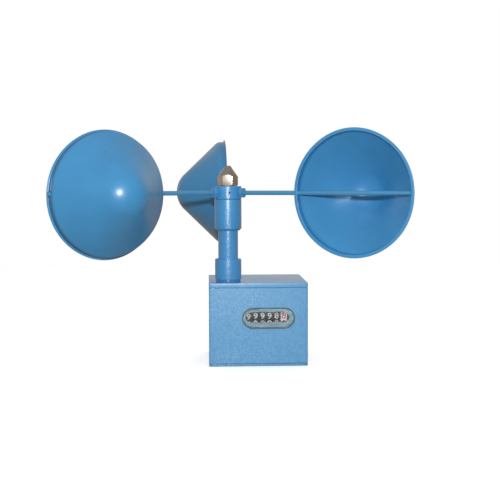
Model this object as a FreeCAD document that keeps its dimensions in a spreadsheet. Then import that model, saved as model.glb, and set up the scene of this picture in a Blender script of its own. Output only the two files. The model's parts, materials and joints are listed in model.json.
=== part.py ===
import FreeCAD, Part
import math
import os
import re

import Sketcher

# Cup anemometer with a wind-run counter. Millimetres, +Z up. The origin lies on the
# underside of the base plate, below the spindle, and the counter window faces -Y.
# Three conical cups turn the spindle; a worm on its lower end drives a 40-tooth wheel,
# and a pair of equal spur gears turns the last of six digit drums once in 40 turns.

DRIVING = {
    # rotor: cups, arms and hub
    "arm_height": 185.0,
    "arm_radius": 2.4,
    "arm_start": 8.0,
    "arm_overhang": 1.2,
    "cup_orbit": 141.0,
    "cup_lip_radius": 63.5,
    "cup_band_radius": 61.2,
    "cup_band_length": 8.5,
    "cup_depth": 58.7,
    "cup_nose_radius": 29.5,
    "cup_wall": 1.0,
    "cup_lip_length": 1.0,
    "cup_arm_setback": 3.9,
    "first_arm_azimuth": 92.0,
    "hub_radius": 14.5,
    "hub_bottom": 178.3,
    "hub_top": 192.2,
    "hub_chamfer": 0.6,
    "hub_recess_radius": 9.5,
    "hub_recess_depth": 2.6,
    "lock_nut_width": 10.0,
    "lock_nut_length": 5.0,
    "grub_radius": 1.45,
    "grub_length": 4.0,
    "grub_start": 5.1,
    "grub_angle": 275.0,
    "socket_width": 1.5,
    "socket_depth": 1.0,
    "cap_nut_width": 19.0,
    "cap_nut_height": 21.6,
    "cap_nut_shoulder": 9.9,
    "cap_nut_tip_radius": 2.9,
    "cap_nut_base_chamfer": 0.8,
    "cap_nut_turn": 24.0,
    # spindle
    "thread_radius": 4.9,
    "thread_top": 206.0,
    "seat_radius": 5.0,
    "shoulder_radius": 6.5,
    "spindle_radius": 4.0,
    "drive_radius": 3.0,
    "drive_top": 92.0,
    "pivot_radius": 1.5,
    "pivot_top": 34.0,
    "pivot_bottom": 29.3,
    # ball bearings, 8 x 19 x 6
    "bearing_bore": 4.0,
    "bearing_outer": 9.5,
    "bearing_width": 6.0,
    "bearing_pitch": 6.75,
    "ball_radius": 1.5,
    "ball_count": 8,
    "upper_bearing_top": 173.5,
    "lower_bearing_top": 102.5,
    "ring_thickness": 1.0,
    "ring_groove": 1.3,
    "ring_reach": 1.3,
    "housing_groove_depth": 0.6,
    "housing_ring_bite": 0.5,
    "spindle_groove_depth": 0.3,
    "spindle_ring_bite": 0.25,
    # fits
    "fit": 0.05,
    "gap": 0.3,
    # column
    "housing_radius": 14.5,
    "housing_bottom": 144.8,
    "housing_top": 178.1,
    "housing_chamfer": 2.1,
    "neck_radius": 9.0,
    "neck_bore": 7.0,
    "neck_top": 179.9,
    "tube_radius": 10.65,
    "tube_bore": 8.0,
    "tube_bottom": 104.6,
    "tube_top": 159.7,
    "collar_radius": 14.25,
    "collar_bottom": 92.3,
    "collar_top": 114.0,
    "collar_chamfer": 0.8,
    "spigot_radius": 12.0,
    "spigot_bottom": 76.5,
    "collar_gasket_radius": 13.5,
    "column_nut_width": 30.0,
    "column_nut_thickness": 6.0,
    # box
    "box_left": -21.2,
    "box_right": 84.6,
    "box_front": -18.0,
    "box_back": 76.0,
    "box_height": 89.2,
    "box_corner": 2.0,
    "sheet": 1.5,
    "top_plate_thickness": 4.7,
    "top_plate_edge": 0.8,
    "top_gasket_thickness": 0.6,
    "base_plate_thickness": 2.4,
    "base_gasket_thickness": 0.8,
    "seam_setback": 0.4,
    "post_width": 6.0,
    "base_screw_radius": 1.5,
    "base_screw_head": 2.8,
    "base_screw_length": 12.0,
    "mount_pitch_x": 80.0,
    "mount_pitch_y": 66.0,
    "mount_hole": 2.5,
    "mount_nut_width": 10.0,
    "mount_nut_thickness": 5.0,
    # window and counter face
    "window_centre_x": 42.45,
    "window_centre_z": 51.55,
    "window_length": 56.3,
    "window_height": 22.5,
    "gasket_lip": 1.2,
    "gasket_flange": 1.6,
    "gasket_proud": 0.5,
    "glass_thickness": 1.6,
    "glass_setback": 0.8,
    "aperture_centre_x": 41.0,
    "aperture_centre_z": 52.35,
    "aperture_length": 46.0,
    "aperture_height": 10.9,
    "mask_front": -15.2,
    "mask_thickness": 0.6,
    "mask_bottom": 37.0,
    "mask_top": 66.5,
    # counter
    "counter_y": -0.6,
    "gear_height": 52.4,
    "first_drum_x": 21.1,
    "drum_pitch": 7.56,
    "drum_count": 6,
    "drum_radius": 13.0,
    "drum_width": 5.6,
    "drum_edge": 0.3,
    "drum_side": 0.8,
    "counter_shaft_radius": 2.0,
    "transfer_module": 1.0,
    "transfer_teeth": 20,
    "transfer_disc_radius": 8.8,
    "transfer_tooth_radius": 10.8,
    "transfer_tooth_root": 8.3,
    "transfer_tooth_inside": 0.9,
    "transfer_tooth_outside": 2.2,
    "pinion_teeth": 8,
    "pinion_width": 1.36,
    "pinion_addendum": 0.9,
    "pinion_shaft_radius": 0.7,
    "clip_margin": 1.4,
    "clip_thickness": 0.6,
    "pinion_angle": -60.0,
    # gear train
    "gear_module": 0.8,
    "wheel_teeth": 40,
    "wheel_width": 5.0,
    "spur_teeth": 27,
    "spur_width": 3.4,
    "spur_x": 64.6,
    "worm_pitch_radius": 5.0,
    "worm_core_radius": 4.0,
    "worm_thread_length": 17.0,
    "worm_run_out": 2.0,
    "worm_collar_radius": 7.2,
    "worm_collar_bottom": 64.0,
    "worm_collar_top": 70.0,
    "gear_shaft_y": 21.0,
    "gear_shaft_radius": 2.0,
    "shaft_overhang": 1.5,
    "gear_hub_radius": 5.0,
    "gear_hub_length": 5.0,
    # movement frame
    "frame_sheet": 1.5,
    "frame_left": -14.5,
    "frame_right": 71.7,
    "frame_front": -9.8,
    "frame_back": 30.0,
    "frame_bottom": 33.0,
    "deck_top": 73.5,
    "deck_hole": 8.0,
    "centre_plate_x": 12.2,
    "fold_front": 14.0,
    "fold_reach": 10.0,
    "standoff_width": 6.0,
    "standoff_left": -9.0,
    "standoff_middle": 24.0,
    "standoff_right": 65.0,
    "standoff_front": -7.0,
    "standoff_back": 24.0,
    "bush_radius": 3.5,
    "bush_flange": 4.6,
    "bush_flange_thickness": 0.8,
    "bracket_height": 29.5,
    "bracket_width": 10.0,
    "bracket_tab": 4.5,
    "footstep_radius": 3.0,
    "footstep_flange": 5.0,
    "footstep_wall": 1.0,
    "frame_screw_radius": 1.5,
    "frame_screw_head": 2.6,
    "frame_screw_head_height": 1.6,
    "frame_screw_length": 5.0,
}

CUP_NAMES = ["rear", "left", "right"]
X_AXIS = FreeCAD.Vector(1, 0, 0)
Y_AXIS = FreeCAD.Vector(0, 1, 0)
Z_AXIS = FreeCAD.Vector(0, 0, 1)
ORIGIN = FreeCAD.Vector(0, 0, 0)
ALONG_X = FreeCAD.Rotation(Y_AXIS, 90)
ALONG_Y = FreeCAD.Rotation(X_AXIS, -90)
UPRIGHT = FreeCAD.Rotation()
BACKLASH = 0.08  # share of the module that each flank stands back from its pitch line
DEDENDUM = 1.25  # modules from a gear's pitch circle down to its root
PRESSURE_ANGLE = math.radians(20)
THREAD_SUNK = 0.1  # depth of the thread's foot inside the worm's core
TINY = 1e-6

doc = FreeCAD.newDocument("CupAnemometer")
dim = doc.addObject("Spreadsheet::Sheet", "dim")
for row, (alias, size) in enumerate(DRIVING.items(), start=1):
    dim.set(f"A{row}", alias)
    dim.set(f"B{row}", str(size))
    dim.setAlias(f"B{row}", alias)
doc.recompute()

subparts = []


def formula(text):
    """A formula with each driving dimension's alias written as a reference to the sheet."""
    return re.sub(r"[a-z_]\w*", lambda word: "dim." + word[0] if word[0] in DRIVING else word[0], str(text))


def value(text):
    """What a formula comes to with the sheet's numbers."""
    return float(dim.evalExpression(formula(text)))


def bind(thing, **sizes):
    """Bind properties of a document object to formulas over the sheet."""
    for name, text in sizes.items():
        thing.setExpression(name, formula(text))
    return thing


def place(thing, x="0", y="0", z="0", turn=UPRIGHT):
    """Stand an object at a point given by three formulas."""
    thing.Placement = FreeCAD.Placement(FreeCAD.Vector(value(x), value(y), value(z)), turn)
    return thing


def subpart(label, thing):
    """Name an object as one of the sub-parts that are written out."""
    thing.Label = label
    subparts.append(thing)
    return thing


def new_body(name):
    return doc.addObject("PartDesign::Body", "body_" + name)


def sketch_on(body, role, lift="0", turn=UPRIGHT):
    """A sketch on one of its body's own origin planes, lifted along the plane's normal."""
    sketch = body.newObject("Sketcher::SketchObject", "sketch")
    plane = next(f for f in body.Origin.OriginFeatures if f.Role == role)
    sketch.AttachmentSupport = [(plane, "")]
    sketch.MapMode = "FlatFace"
    sketch.AttachmentOffset = FreeCAD.Placement(turn.multVec(FreeCAD.Vector(0, 0, value(lift))), turn)
    return sketch


def hold_point(sketch, item, end, x, y):
    """Pin a sketch point to two formulas, measured from the sketch's origin."""
    for kind, text, axis in (("DistanceX", x, -2), ("DistanceY", y, -1)):
        size = value(text)
        if abs(size) < 1e-9:
            sketch.addConstraint(Sketcher.Constraint("PointOnObject", item, end, axis))
            continue
        held = sketch.addConstraint(Sketcher.Constraint(kind, -1, 1, item, end, size))
        sketch.setExpression(f"Constraints[{held}]", formula(text))


def draw_outline(sketch, corners):
    """A closed outline of straight lines through corners given as pairs of formulas."""
    points = [FreeCAD.Vector(value(x), value(y), 0) for x, y in corners]
    first = sketch.GeometryCount
    count = len(points)
    for i in range(count):
        sketch.addGeometry(Part.LineSegment(points[i], points[(i + 1) % count]), False)
    for i in range(count):
        after = first + (i + 1) % count
        sketch.addConstraint(Sketcher.Constraint("Coincident", first + i, 2, after, 1))
    for i, (x, y) in enumerate(corners):
        hold_point(sketch, first + i, 1, x, y)


def draw_box(sketch, left, right, low, high):
    draw_outline(sketch, [(left, low), (right, low), (right, high), (left, high)])


def draw_circle(sketch, x, y, radius):
    centre = FreeCAD.Vector(value(x), value(y), 0)
    item = sketch.addGeometry(Part.Circle(centre, Z_AXIS, value(radius)), False)
    hold_point(sketch, item, 3, x, y)
    held = sketch.addConstraint(Sketcher.Constraint("Radius", item, value(radius)))
    sketch.setExpression(f"Constraints[{held}]", formula(radius))


def draw_obround(sketch, x, y, length, height):
    """A slot shape: two half circles joined by straight lines."""
    radius = value(height) / 2
    reach = value(length) / 2 - radius
    cx, cy = value(x), value(y)
    first = sketch.GeometryCount
    for side, start in ((1, -90), (-1, 90)):
        circle = Part.Circle(FreeCAD.Vector(cx + side * reach, cy, 0), Z_AXIS, radius)
        arc = Part.ArcOfCircle(circle, math.radians(start), math.radians(start + 180))
        sketch.addGeometry(arc, False)
    top = Part.LineSegment(
        FreeCAD.Vector(cx + reach, cy + radius, 0), FreeCAD.Vector(cx - reach, cy + radius, 0)
    )
    bottom = Part.LineSegment(
        FreeCAD.Vector(cx - reach, cy - radius, 0), FreeCAD.Vector(cx + reach, cy - radius, 0)
    )
    sketch.addGeometry(top, False)
    sketch.addGeometry(bottom, False)
    right, left, upper, lower = first, first + 1, first + 2, first + 3
    for a, a_end, b, b_end in (
        (right, 2, upper, 1),
        (upper, 2, left, 1),
        (left, 2, lower, 1),
        (lower, 2, right, 1),
    ):
        sketch.addConstraint(Sketcher.Constraint("Tangent", a, a_end, b, b_end))
    straight = f"({length} - ({height}))"
    hold_point(sketch, right, 3, f"{x} + {straight} / 2", y)
    hold_point(sketch, left, 3, f"{x} - {straight} / 2", y)
    held = sketch.addConstraint(Sketcher.Constraint("Radius", right, radius))
    sketch.setExpression(f"Constraints[{held}]", formula(f"({height}) / 2"))


def revolve(body, outline, about="V_Axis"):
    """Turn an outline of (radius, height) about Z, or of (x, radius) about X."""
    sketch = sketch_on(body, "XZ_Plane")
    draw_outline(sketch, outline)
    turned = body.newObject("PartDesign::Revolution", "turned")
    turned.Profile = sketch
    turned.ReferenceAxis = (sketch, [about])
    turned.Angle = 360
    return turned


def pad(body, sketch, length):
    raised = body.newObject("PartDesign::Pad", "raised")
    raised.Profile = sketch
    bind(raised, Length=length)
    return raised


def pocket(body, sketch, length, away=False):
    """Cut a sketch into the body, against its plane's normal or along it."""
    doc.recompute()
    before = body.Shape.Volume
    cut = body.newObject("PartDesign::Pocket", "cut")
    cut.Profile = sketch
    cut.Reversed = away
    bind(cut, Length=length)
    doc.recompute()
    if not body.Shape.Volume < before - 1e-6:
        raise RuntimeError(f"a pocket in {body.Label} cuts nothing")
    return cut


def around(body, feature, count):
    """Repeat a feature evenly about the body's own Z axis."""
    pattern = body.newObject("PartDesign::PolarPattern", "around")
    pattern.Originals = [feature]
    axis = next(f for f in body.Origin.OriginFeatures if f.Role == "Z_Axis")
    pattern.Axis = (axis, [""])
    pattern.Angle = 360
    bind(pattern, Occurrences=count)
    body.Tip = pattern
    return pattern


def edges_where(shape, wanted):
    return [f"Edge{n}" for n, edge in enumerate(shape.Edges, start=1) if wanted(edge)]


def is_upright(edge):
    a, b = edge.Vertexes[0].Point, edge.Vertexes[-1].Point
    return a.distanceToPoint(b) > 1e-6 and abs(abs((b - a).normalize().z) - 1) < 1e-6


def round_edges(body, feature, wanted, radius):
    doc.recompute()
    rounded = body.newObject("PartDesign::Fillet", "rounded")
    rounded.Base = (feature, edges_where(feature.Shape, wanted))
    bind(rounded, Radius=radius)
    return rounded


def cylinder(radius, height, x="0", y="0", z="0", turn=UPRIGHT):
    made = doc.addObject("Part::Cylinder", "cylinder")
    bind(made, Radius=radius, Height=height)
    return place(made, x, y, z, turn)


def prism(width, height, x="0", y="0", z="0", turn=UPRIGHT):
    """A hexagonal bar, sized across its flats."""
    made = doc.addObject("Part::Prism", "prism")
    made.Polygon = 6
    bind(made, Circumradius=f"({width}) / sqrt(3)", Height=height)
    return place(made, x, y, z, turn)


def cut(base, tool):
    made = doc.addObject("Part::Cut", "cut")
    made.Base = base
    made.Tool = tool
    return made


def fuse(*shapes):
    made = doc.addObject("Part::MultiFuse", "fuse")
    made.Shapes = list(shapes)
    return made


def common(*shapes):
    made = doc.addObject("Part::MultiCommon", "common")
    made.Shapes = list(shapes)
    return made


def group(things):
    """Several identical pieces, kept as separate solids."""
    made = doc.addObject("Part::Compound", "group")
    made.Links = list(things)
    return made


def turned_part(label, outline, x="0", y="0", z="0", about="V_Axis"):
    body = new_body(label)
    revolve(body, outline, about)
    place(body, x, y, z)
    return subpart(label, body)


def radial(azimuth, distance, height):
    """A point at an azimuth and a distance from the spindle's axis."""
    angle = math.radians(azimuth)
    return FreeCAD.Vector(distance * math.cos(angle), distance * math.sin(angle), height)


def stand_at(thing, point, turn):
    thing.Placement = FreeCAD.Placement(point, turn)
    return thing


# ---------------------------------------------------------------- rotor


def cup_section(sketch):
    """Half section of a cup: x runs out of the mouth from the lip's plane, y is the radius.

    A rolled lip, a short cylindrical band, a cone and a domed nose that it is tangent to.
    """
    wall, nose = value("cup_wall"), value("cup_nose_radius")
    lip, band = value("cup_lip_radius"), value("cup_band_radius")
    lip_end, band_end = -value("cup_lip_length"), -value("cup_band_length")
    depth = value("cup_depth")
    centre = FreeCAD.Vector(nose - depth, 0, 0)
    knee = FreeCAD.Vector(band_end, band, 0)
    away = knee - centre
    lean = math.atan2(away.y, away.x) + math.acos(nose / away.Length)
    out = FreeCAD.Vector(math.cos(lean), math.sin(lean), 0)
    run = FreeCAD.Vector(math.sin(lean), -math.cos(lean), 0)
    touch = centre + out * nose
    inner_touch = centre + out * (nose - wall)
    inner_knee = inner_touch + run * ((band - wall - inner_touch.y) / run.y)
    corners = [
        FreeCAD.Vector(0, band - wall, 0),
        FreeCAD.Vector(0, lip, 0),
        FreeCAD.Vector(lip_end, lip, 0),
        FreeCAD.Vector(lip_end, band, 0),
        knee,
        touch,
    ]
    for a, b in zip(corners, corners[1:]):
        sketch.addGeometry(Part.LineSegment(a, b), False)
    outer_arc, axis_line, inner_arc, inner_cone, inner_band = 5, 6, 7, 8, 9
    apex = FreeCAD.Vector(-depth, 0, 0)
    inner_apex = FreeCAD.Vector(wall - depth, 0, 0)
    circle = Part.Circle(centre, Z_AXIS, nose)
    sketch.addGeometry(Part.ArcOfCircle(circle, lean, math.pi), False)
    sketch.addGeometry(Part.LineSegment(apex, inner_apex), False)
    circle = Part.Circle(centre, Z_AXIS, nose - wall)
    sketch.addGeometry(Part.ArcOfCircle(circle, lean, math.pi), False)
    sketch.addGeometry(Part.LineSegment(inner_touch, inner_knee), False)
    sketch.addGeometry(Part.LineSegment(inner_knee, corners[0]), False)
    joins = [(i, 2, i + 1, 1) for i in range(4)]
    joins += [(outer_arc, 2, axis_line, 1), (axis_line, 2, inner_arc, 2)]
    joins += [(inner_cone, 2, inner_band, 1), (inner_band, 2, 0, 1)]
    for a, a_end, b, b_end in joins:
        sketch.addConstraint(Sketcher.Constraint("Coincident", a, a_end, b, b_end))
    sketch.addConstraint(Sketcher.Constraint("Tangent", 4, 2, outer_arc, 1))
    sketch.addConstraint(Sketcher.Constraint("Tangent", inner_cone, 1, inner_arc, 1))
    sketch.addConstraint(Sketcher.Constraint("Parallel", 4, inner_cone))
    sketch.addConstraint(Sketcher.Constraint("Horizontal", inner_band))
    sketch.addConstraint(Sketcher.Constraint("Coincident", outer_arc, 3, inner_arc, 3))
    hold_point(sketch, outer_arc, 3, "cup_nose_radius - cup_depth", "0")
    sketch.addConstraint(Sketcher.Constraint("PointOnObject", outer_arc, 2, -1))
    sketch.addConstraint(Sketcher.Constraint("PointOnObject", inner_arc, 2, -1))
    for arc, size in ((outer_arc, "cup_nose_radius"), (inner_arc, "cup_nose_radius - cup_wall")):
        held = sketch.addConstraint(Sketcher.Constraint("Radius", arc, value(size)))
        sketch.setExpression(f"Constraints[{held}]", formula(size))
    hold_point(sketch, 0, 1, "0", "cup_band_radius - cup_wall")
    hold_point(sketch, 1, 1, "0", "cup_lip_radius")
    hold_point(sketch, 2, 1, "-cup_lip_length", "cup_lip_radius")
    hold_point(sketch, 3, 1, "-cup_lip_length", "cup_band_radius")
    hold_point(sketch, 4, 1, "-cup_band_length", "cup_band_radius")


def arm_azimuths():
    """Azimuths of the equally spaced arms, seen from above, starting from the rear one."""
    return [value("first_arm_azimuth") + 360 / len(CUP_NAMES) * n for n in range(len(CUP_NAMES))]


def make_cup(name, azimuth):
    """One sheet-metal cup. Its own X axis points out of its mouth, its Y axis along the arm."""
    body = new_body("cup_" + name)
    sketch = sketch_on(body, "XY_Plane")
    cup_section(sketch)
    shell = body.newObject("PartDesign::Revolution", "shell")
    shell.Profile = sketch
    shell.ReferenceAxis = (sketch, ["H_Axis"])
    shell.Angle = 360
    holes = sketch_on(body, "XZ_Plane", "cup_lip_radius + 1")
    draw_circle(holes, "-cup_arm_setback", "0", "arm_radius + fit")
    pocket(body, holes, "2 * cup_lip_radius + 2")
    turn = FreeCAD.Rotation(Z_AXIS, azimuth - 90)
    ahead = turn.multVec(FreeCAD.Vector(value("cup_arm_setback"), 0, 0))
    centre = radial(azimuth, value("cup_orbit"), value("arm_height"))
    stand_at(body, centre + ahead, turn)
    subpart("cup_" + name, body)


def make_arm(name, azimuth):
    """A rod screwed into the hub that crosses the cup's mouth and ends just past its band."""
    rod = cylinder("arm_radius", "cup_orbit + cup_band_radius + arm_overhang - arm_start")
    turn = FreeCAD.Rotation(Z_AXIS, azimuth - 90).multiply(ALONG_Y)
    stand_at(rod, radial(azimuth, value("arm_start"), value("arm_height")), turn)
    subpart("arm_" + name, rod)


def make_lock_nuts():
    """Hexagonal nuts that lock each arm against the hub."""
    nuts = []
    for azimuth in arm_azimuths():
        blank = prism("lock_nut_width", "lock_nut_length")
        nut = cut(blank, cylinder("arm_radius + fit", "lock_nut_length"))
        turn = FreeCAD.Rotation(Z_AXIS, azimuth - 90).multiply(ALONG_Y)
        nuts.append(stand_at(nut, radial(azimuth, value("hub_radius + fit"), value("arm_height")), turn))
    subpart("arm_lock_nuts", group(nuts))


def make_hub():
    body = new_body("rotor_hub")
    ceiling = "hub_bottom + hub_recess_depth"
    revolve(
        body,
        [
            ("seat_radius + fit", ceiling),
            ("hub_recess_radius", ceiling),
            ("hub_recess_radius", "hub_bottom"),
            ("hub_radius - hub_chamfer", "hub_bottom"),
            ("hub_radius", "hub_bottom + hub_chamfer"),
            ("hub_radius", "hub_top - hub_chamfer"),
            ("hub_radius - hub_chamfer", "hub_top"),
            ("seat_radius + fit", "hub_top"),
        ],
    )
    blank = place(body)
    tools = []
    for azimuth in arm_azimuths():
        turn = FreeCAD.Rotation(Z_AXIS, azimuth - 90).multiply(ALONG_Y)
        hole = cylinder("arm_radius + fit", "hub_radius")
        tools.append(stand_at(hole, radial(azimuth, value("arm_start - gap"), value("arm_height")), turn))
    turn = FreeCAD.Rotation(Z_AXIS, value("grub_angle") - 90).multiply(ALONG_Y)
    hole = cylinder("grub_radius + fit", "hub_radius + 1")
    tools.append(stand_at(hole, FreeCAD.Vector(0, 0, value("arm_height")), turn))
    subpart("rotor_hub", cut(blank, fuse(*tools)))


def grub_screw(azimuth, start, height):
    """A headless screw with a hexagonal socket, pointing out along an azimuth."""
    stem = cylinder("grub_radius", "grub_length")
    socket = prism("socket_width", "grub_length / 2", z="grub_length / 2")
    turn = FreeCAD.Rotation(Z_AXIS, azimuth - 90).multiply(ALONG_Y)
    return stand_at(cut(stem, socket), radial(azimuth, start, height), turn)


def make_rotor_screws():
    """The hub's and the worm's grub screws."""
    hub_screw = grub_screw(value("grub_angle"), value("grub_start"), value("arm_height"))
    height = value("(worm_collar_bottom + worm_collar_top) / 2")
    worm_screw = grub_screw(180, value("drive_radius + fit"), height)
    subpart("rotor_grub_screws", group([hub_screw, worm_screw]))


def make_cap_nut():
    """A tall hexagonal nut with a conical top that hides the end of the spindle."""
    corner = "cap_nut_width / sqrt(3)"
    body = new_body("cap_nut_blank")
    revolve(
        body,
        [
            ("0", "0"),
            (f"{corner} - cap_nut_base_chamfer", "0"),
            (corner, "cap_nut_base_chamfer"),
            (corner, "cap_nut_shoulder"),
            ("cap_nut_tip_radius", "cap_nut_height"),
            ("0", "cap_nut_height"),
        ],
    )
    hexagon = prism("cap_nut_width", "cap_nut_height")
    stand_at(hexagon, ORIGIN, FreeCAD.Rotation(Z_AXIS, value("cap_nut_turn")))
    bore = cylinder("thread_radius + fit", "thread_top - hub_top + gap")
    nut = cut(common(body, hexagon), bore)
    place(nut, z="hub_top + fit")
    subpart("cap_nut", nut)


def make_spindle():
    groove_top = "lower_bearing_top - bearing_width - fit"
    groove = "spindle_radius - spindle_groove_depth"
    turned_part(
        "spindle",
        [
            ("0", "pivot_bottom"),
            ("pivot_radius", "pivot_bottom"),
            ("pivot_radius", "pivot_top"),
            ("drive_radius", "pivot_top"),
            ("drive_radius", "drive_top"),
            ("spindle_radius", "drive_top"),
            ("spindle_radius", f"{groove_top} - ring_groove"),
            (groove, f"{groove_top} - ring_groove"),
            (groove, groove_top),
            ("spindle_radius", groove_top),
            ("spindle_radius", "upper_bearing_top"),
            ("shoulder_radius", "upper_bearing_top"),
            ("shoulder_radius", "hub_bottom + hub_recess_depth"),
            ("seat_radius", "hub_bottom + hub_recess_depth"),
            ("seat_radius", "hub_top"),
            ("thread_radius", "hub_top"),
            ("thread_radius", "thread_top - socket_depth"),
            ("thread_radius - socket_depth", "thread_top"),
            ("0", "thread_top"),
        ],
    )


def tube_piece(outer, inner, height, z):
    return cut(cylinder(outer, height, z=z), cylinder(inner, height, z=z))


def race_groove(top):
    groove = doc.addObject("Part::Torus", "groove")
    bind(groove, Radius1="bearing_pitch", Radius2="ball_radius + fit")
    return place(groove, z=f"{top} - bearing_width / 2")


def make_bearings():
    """Two ball bearings: inner races and balls turn with the spindle, outer races stand still."""
    inner, outer, balls = [], [], []
    for top in ("upper_bearing_top", "lower_bearing_top"):
        foot = f"{top} - bearing_width"
        near, far = "bearing_pitch - ball_radius / 2", "bearing_pitch + ball_radius / 2"
        inner.append(cut(tube_piece(near, "bearing_bore + fit", "bearing_width", foot), race_groove(top)))
        outer.append(cut(tube_piece("bearing_outer - fit", far, "bearing_width", foot), race_groove(top)))
        for n in range(int(value("ball_count"))):
            ball = doc.addObject("Part::Sphere", "ball")
            bind(ball, Radius="ball_radius - fit / 2")
            height = value(f"{top} - bearing_width / 2")
            azimuth = 360 / value("ball_count") * n
            balls.append(stand_at(ball, radial(azimuth, value("bearing_pitch"), height), UPRIGHT))
    subpart("bearing_inner_races", group(inner))
    subpart("bearing_outer_races", group(outer))
    subpart("bearing_balls", group(balls))


def open_ring(outer, inner, z, azimuth):
    """A spring retaining ring with a gap in it."""
    ring = tube_piece(outer, inner, "ring_thickness", z)
    notch = doc.addObject("Part::Box", "notch")
    bind(notch, Length=outer, Width=inner, Height="ring_thickness")
    turn = FreeCAD.Rotation(Z_AXIS, azimuth)
    corner = turn.multVec(FreeCAD.Vector(0, -value(inner) / 2, value(z)))
    stand_at(notch, corner, turn)
    return cut(ring, notch)


def make_retaining_rings():
    inside = []
    for top in ("upper_bearing_top", "lower_bearing_top"):
        z = f"{top} - bearing_width - fit - ring_thickness"
        inside.append(open_ring("bearing_outer + housing_ring_bite", "bearing_outer - ring_reach", z, 90))
    subpart("housing_retaining_rings", group(inside))
    z = "lower_bearing_top - bearing_width - 2 * fit - ring_thickness"
    outside = open_ring("spindle_radius + ring_reach", "spindle_radius - spindle_ring_bite", z, 0)
    subpart("spindle_retaining_ring", outside)


def helix_start(turns_down):
    """Height at which the thread leaves azimuth 0 so that it meets the wheel's gap at azimuth 90."""
    pitch = math.pi * value("gear_module")
    return value("gear_height") - pitch / 4 - turns_down * pitch


def make_worm():
    """A single-start right-hand worm with a collar for its grub screw."""
    body = new_body("worm")
    core = "worm_core_radius"
    bottom = "gear_height - worm_thread_length / 2 - worm_run_out"
    revolve(
        body,
        [
            ("drive_radius + fit", bottom),
            (core, bottom),
            (core, "worm_collar_bottom"),
            ("worm_collar_radius", "worm_collar_bottom"),
            ("worm_collar_radius", "worm_collar_top"),
            ("drive_radius + fit", "worm_collar_top"),
        ],
    )
    doc.recompute()
    module = value("gear_module")
    pitch = math.pi * module
    slope = math.tan(PRESSURE_ANGLE)
    half = pitch / 4 - BACKLASH * module
    pitch_radius = value("worm_pitch_radius")
    root = value(core) - THREAD_SUNK
    tip = pitch_radius + module
    turns = int(value("worm_thread_length") / pitch)
    start = helix_start(turns / 2)
    thread = sketch_on(body, "XZ_Plane")
    wide = half + (pitch_radius - root) * slope
    narrow = half - (tip - pitch_radius) * slope
    draw_outline(
        thread,
        [(root, start - wide), (tip, start - narrow), (tip, start + narrow), (root, start + wide)],
    )
    ridge = body.newObject("PartDesign::AdditiveHelix", "ridge")
    ridge.Profile = thread
    ridge.ReferenceAxis = (thread, ["V_Axis"])
    ridge.Mode = "pitch-turns-angle"
    ridge.Pitch = pitch
    ridge.Turns = turns
    ridge.LeftHanded = False
    hole = sketch_on(body, "YZ_Plane")
    draw_circle(hole, "0", "(worm_collar_bottom + worm_collar_top) / 2", "grub_radius + fit")
    pocket(body, hole, "worm_collar_radius + 1")
    subpart("worm", body)


# ---------------------------------------------------------------- column


def make_column():
    seat = "upper_bearing_top - bearing_width - fit"
    turned_part(
        "bearing_housing",
        [
            ("tube_radius + fit", "housing_bottom"),
            ("housing_radius - housing_chamfer", "housing_bottom"),
            ("housing_radius", "housing_bottom + housing_chamfer"),
            ("housing_radius", "housing_top - hub_chamfer"),
            ("housing_radius - hub_chamfer", "housing_top"),
            ("neck_radius", "housing_top"),
            ("neck_radius", "neck_top"),
            ("neck_bore", "neck_top"),
            ("neck_bore", "upper_bearing_top"),
            ("bearing_outer", "upper_bearing_top"),
            ("bearing_outer", seat),
            ("bearing_outer + housing_groove_depth", seat),
            ("bearing_outer + housing_groove_depth", f"{seat} - ring_groove"),
            ("bearing_outer", f"{seat} - ring_groove"),
            ("bearing_outer", "tube_top + gap"),
            ("tube_radius + fit", "tube_top + gap"),
        ],
    )
    turned_part(
        "column_tube",
        [
            ("tube_bore", "tube_bottom"),
            ("tube_radius", "tube_bottom"),
            ("tube_radius", "tube_top"),
            ("tube_bore", "tube_top"),
        ],
    )
    seat = "lower_bearing_top - bearing_width - fit"
    turned_part(
        "column_collar",
        [
            ("bearing_outer", "spigot_bottom"),
            ("spigot_radius", "spigot_bottom"),
            ("spigot_radius", "collar_bottom"),
            ("collar_radius", "collar_bottom"),
            ("collar_radius", "collar_top - collar_chamfer"),
            ("collar_radius - collar_chamfer", "collar_top"),
            ("tube_radius + fit", "collar_top"),
            ("tube_radius + fit", "tube_bottom - fit"),
            ("tube_bore", "tube_bottom - fit"),
            ("tube_bore", "lower_bearing_top"),
            ("bearing_outer", "lower_bearing_top"),
            ("bearing_outer", seat),
            ("bearing_outer + housing_groove_depth", seat),
            ("bearing_outer + housing_groove_depth", f"{seat} - ring_groove"),
            ("bearing_outer", f"{seat} - ring_groove"),
        ],
    )
    turned_part(
        "collar_gasket",
        [
            ("spigot_radius + fit", "box_height"),
            ("collar_gasket_radius", "box_height"),
            ("collar_gasket_radius", "collar_bottom"),
            ("spigot_radius + fit", "collar_bottom"),
        ],
    )
    underside = "box_height - top_plate_thickness"
    blank = prism("column_nut_width", "column_nut_thickness")
    nut = cut(blank, cylinder("spigot_radius + fit", "column_nut_thickness"))
    subpart("column_nut", place(nut, z=f"{underside} - column_nut_thickness"))


# ---------------------------------------------------------------- box


def draw_footprint(sketch, inset):
    draw_box(
        sketch,
        f"box_left + {inset}",
        f"box_right - ({inset})",
        f"box_front + {inset}",
        f"box_back - ({inset})",
    )


def near(number, *places):
    return any(abs(number - p) < 1e-4 for p in places)


def corner_edges(inset):
    """The upright edges at the box's four outer corners, drawn in by inset."""
    xs = [value("box_left") + value(inset), value("box_right") - value(inset)]
    ys = [value("box_front") + value(inset), value("box_back") - value(inset)]

    def wanted(edge):
        point = edge.Vertexes[0].Point
        return is_upright(edge) and near(point.x, *xs) and near(point.y, *ys)

    return wanted


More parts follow.
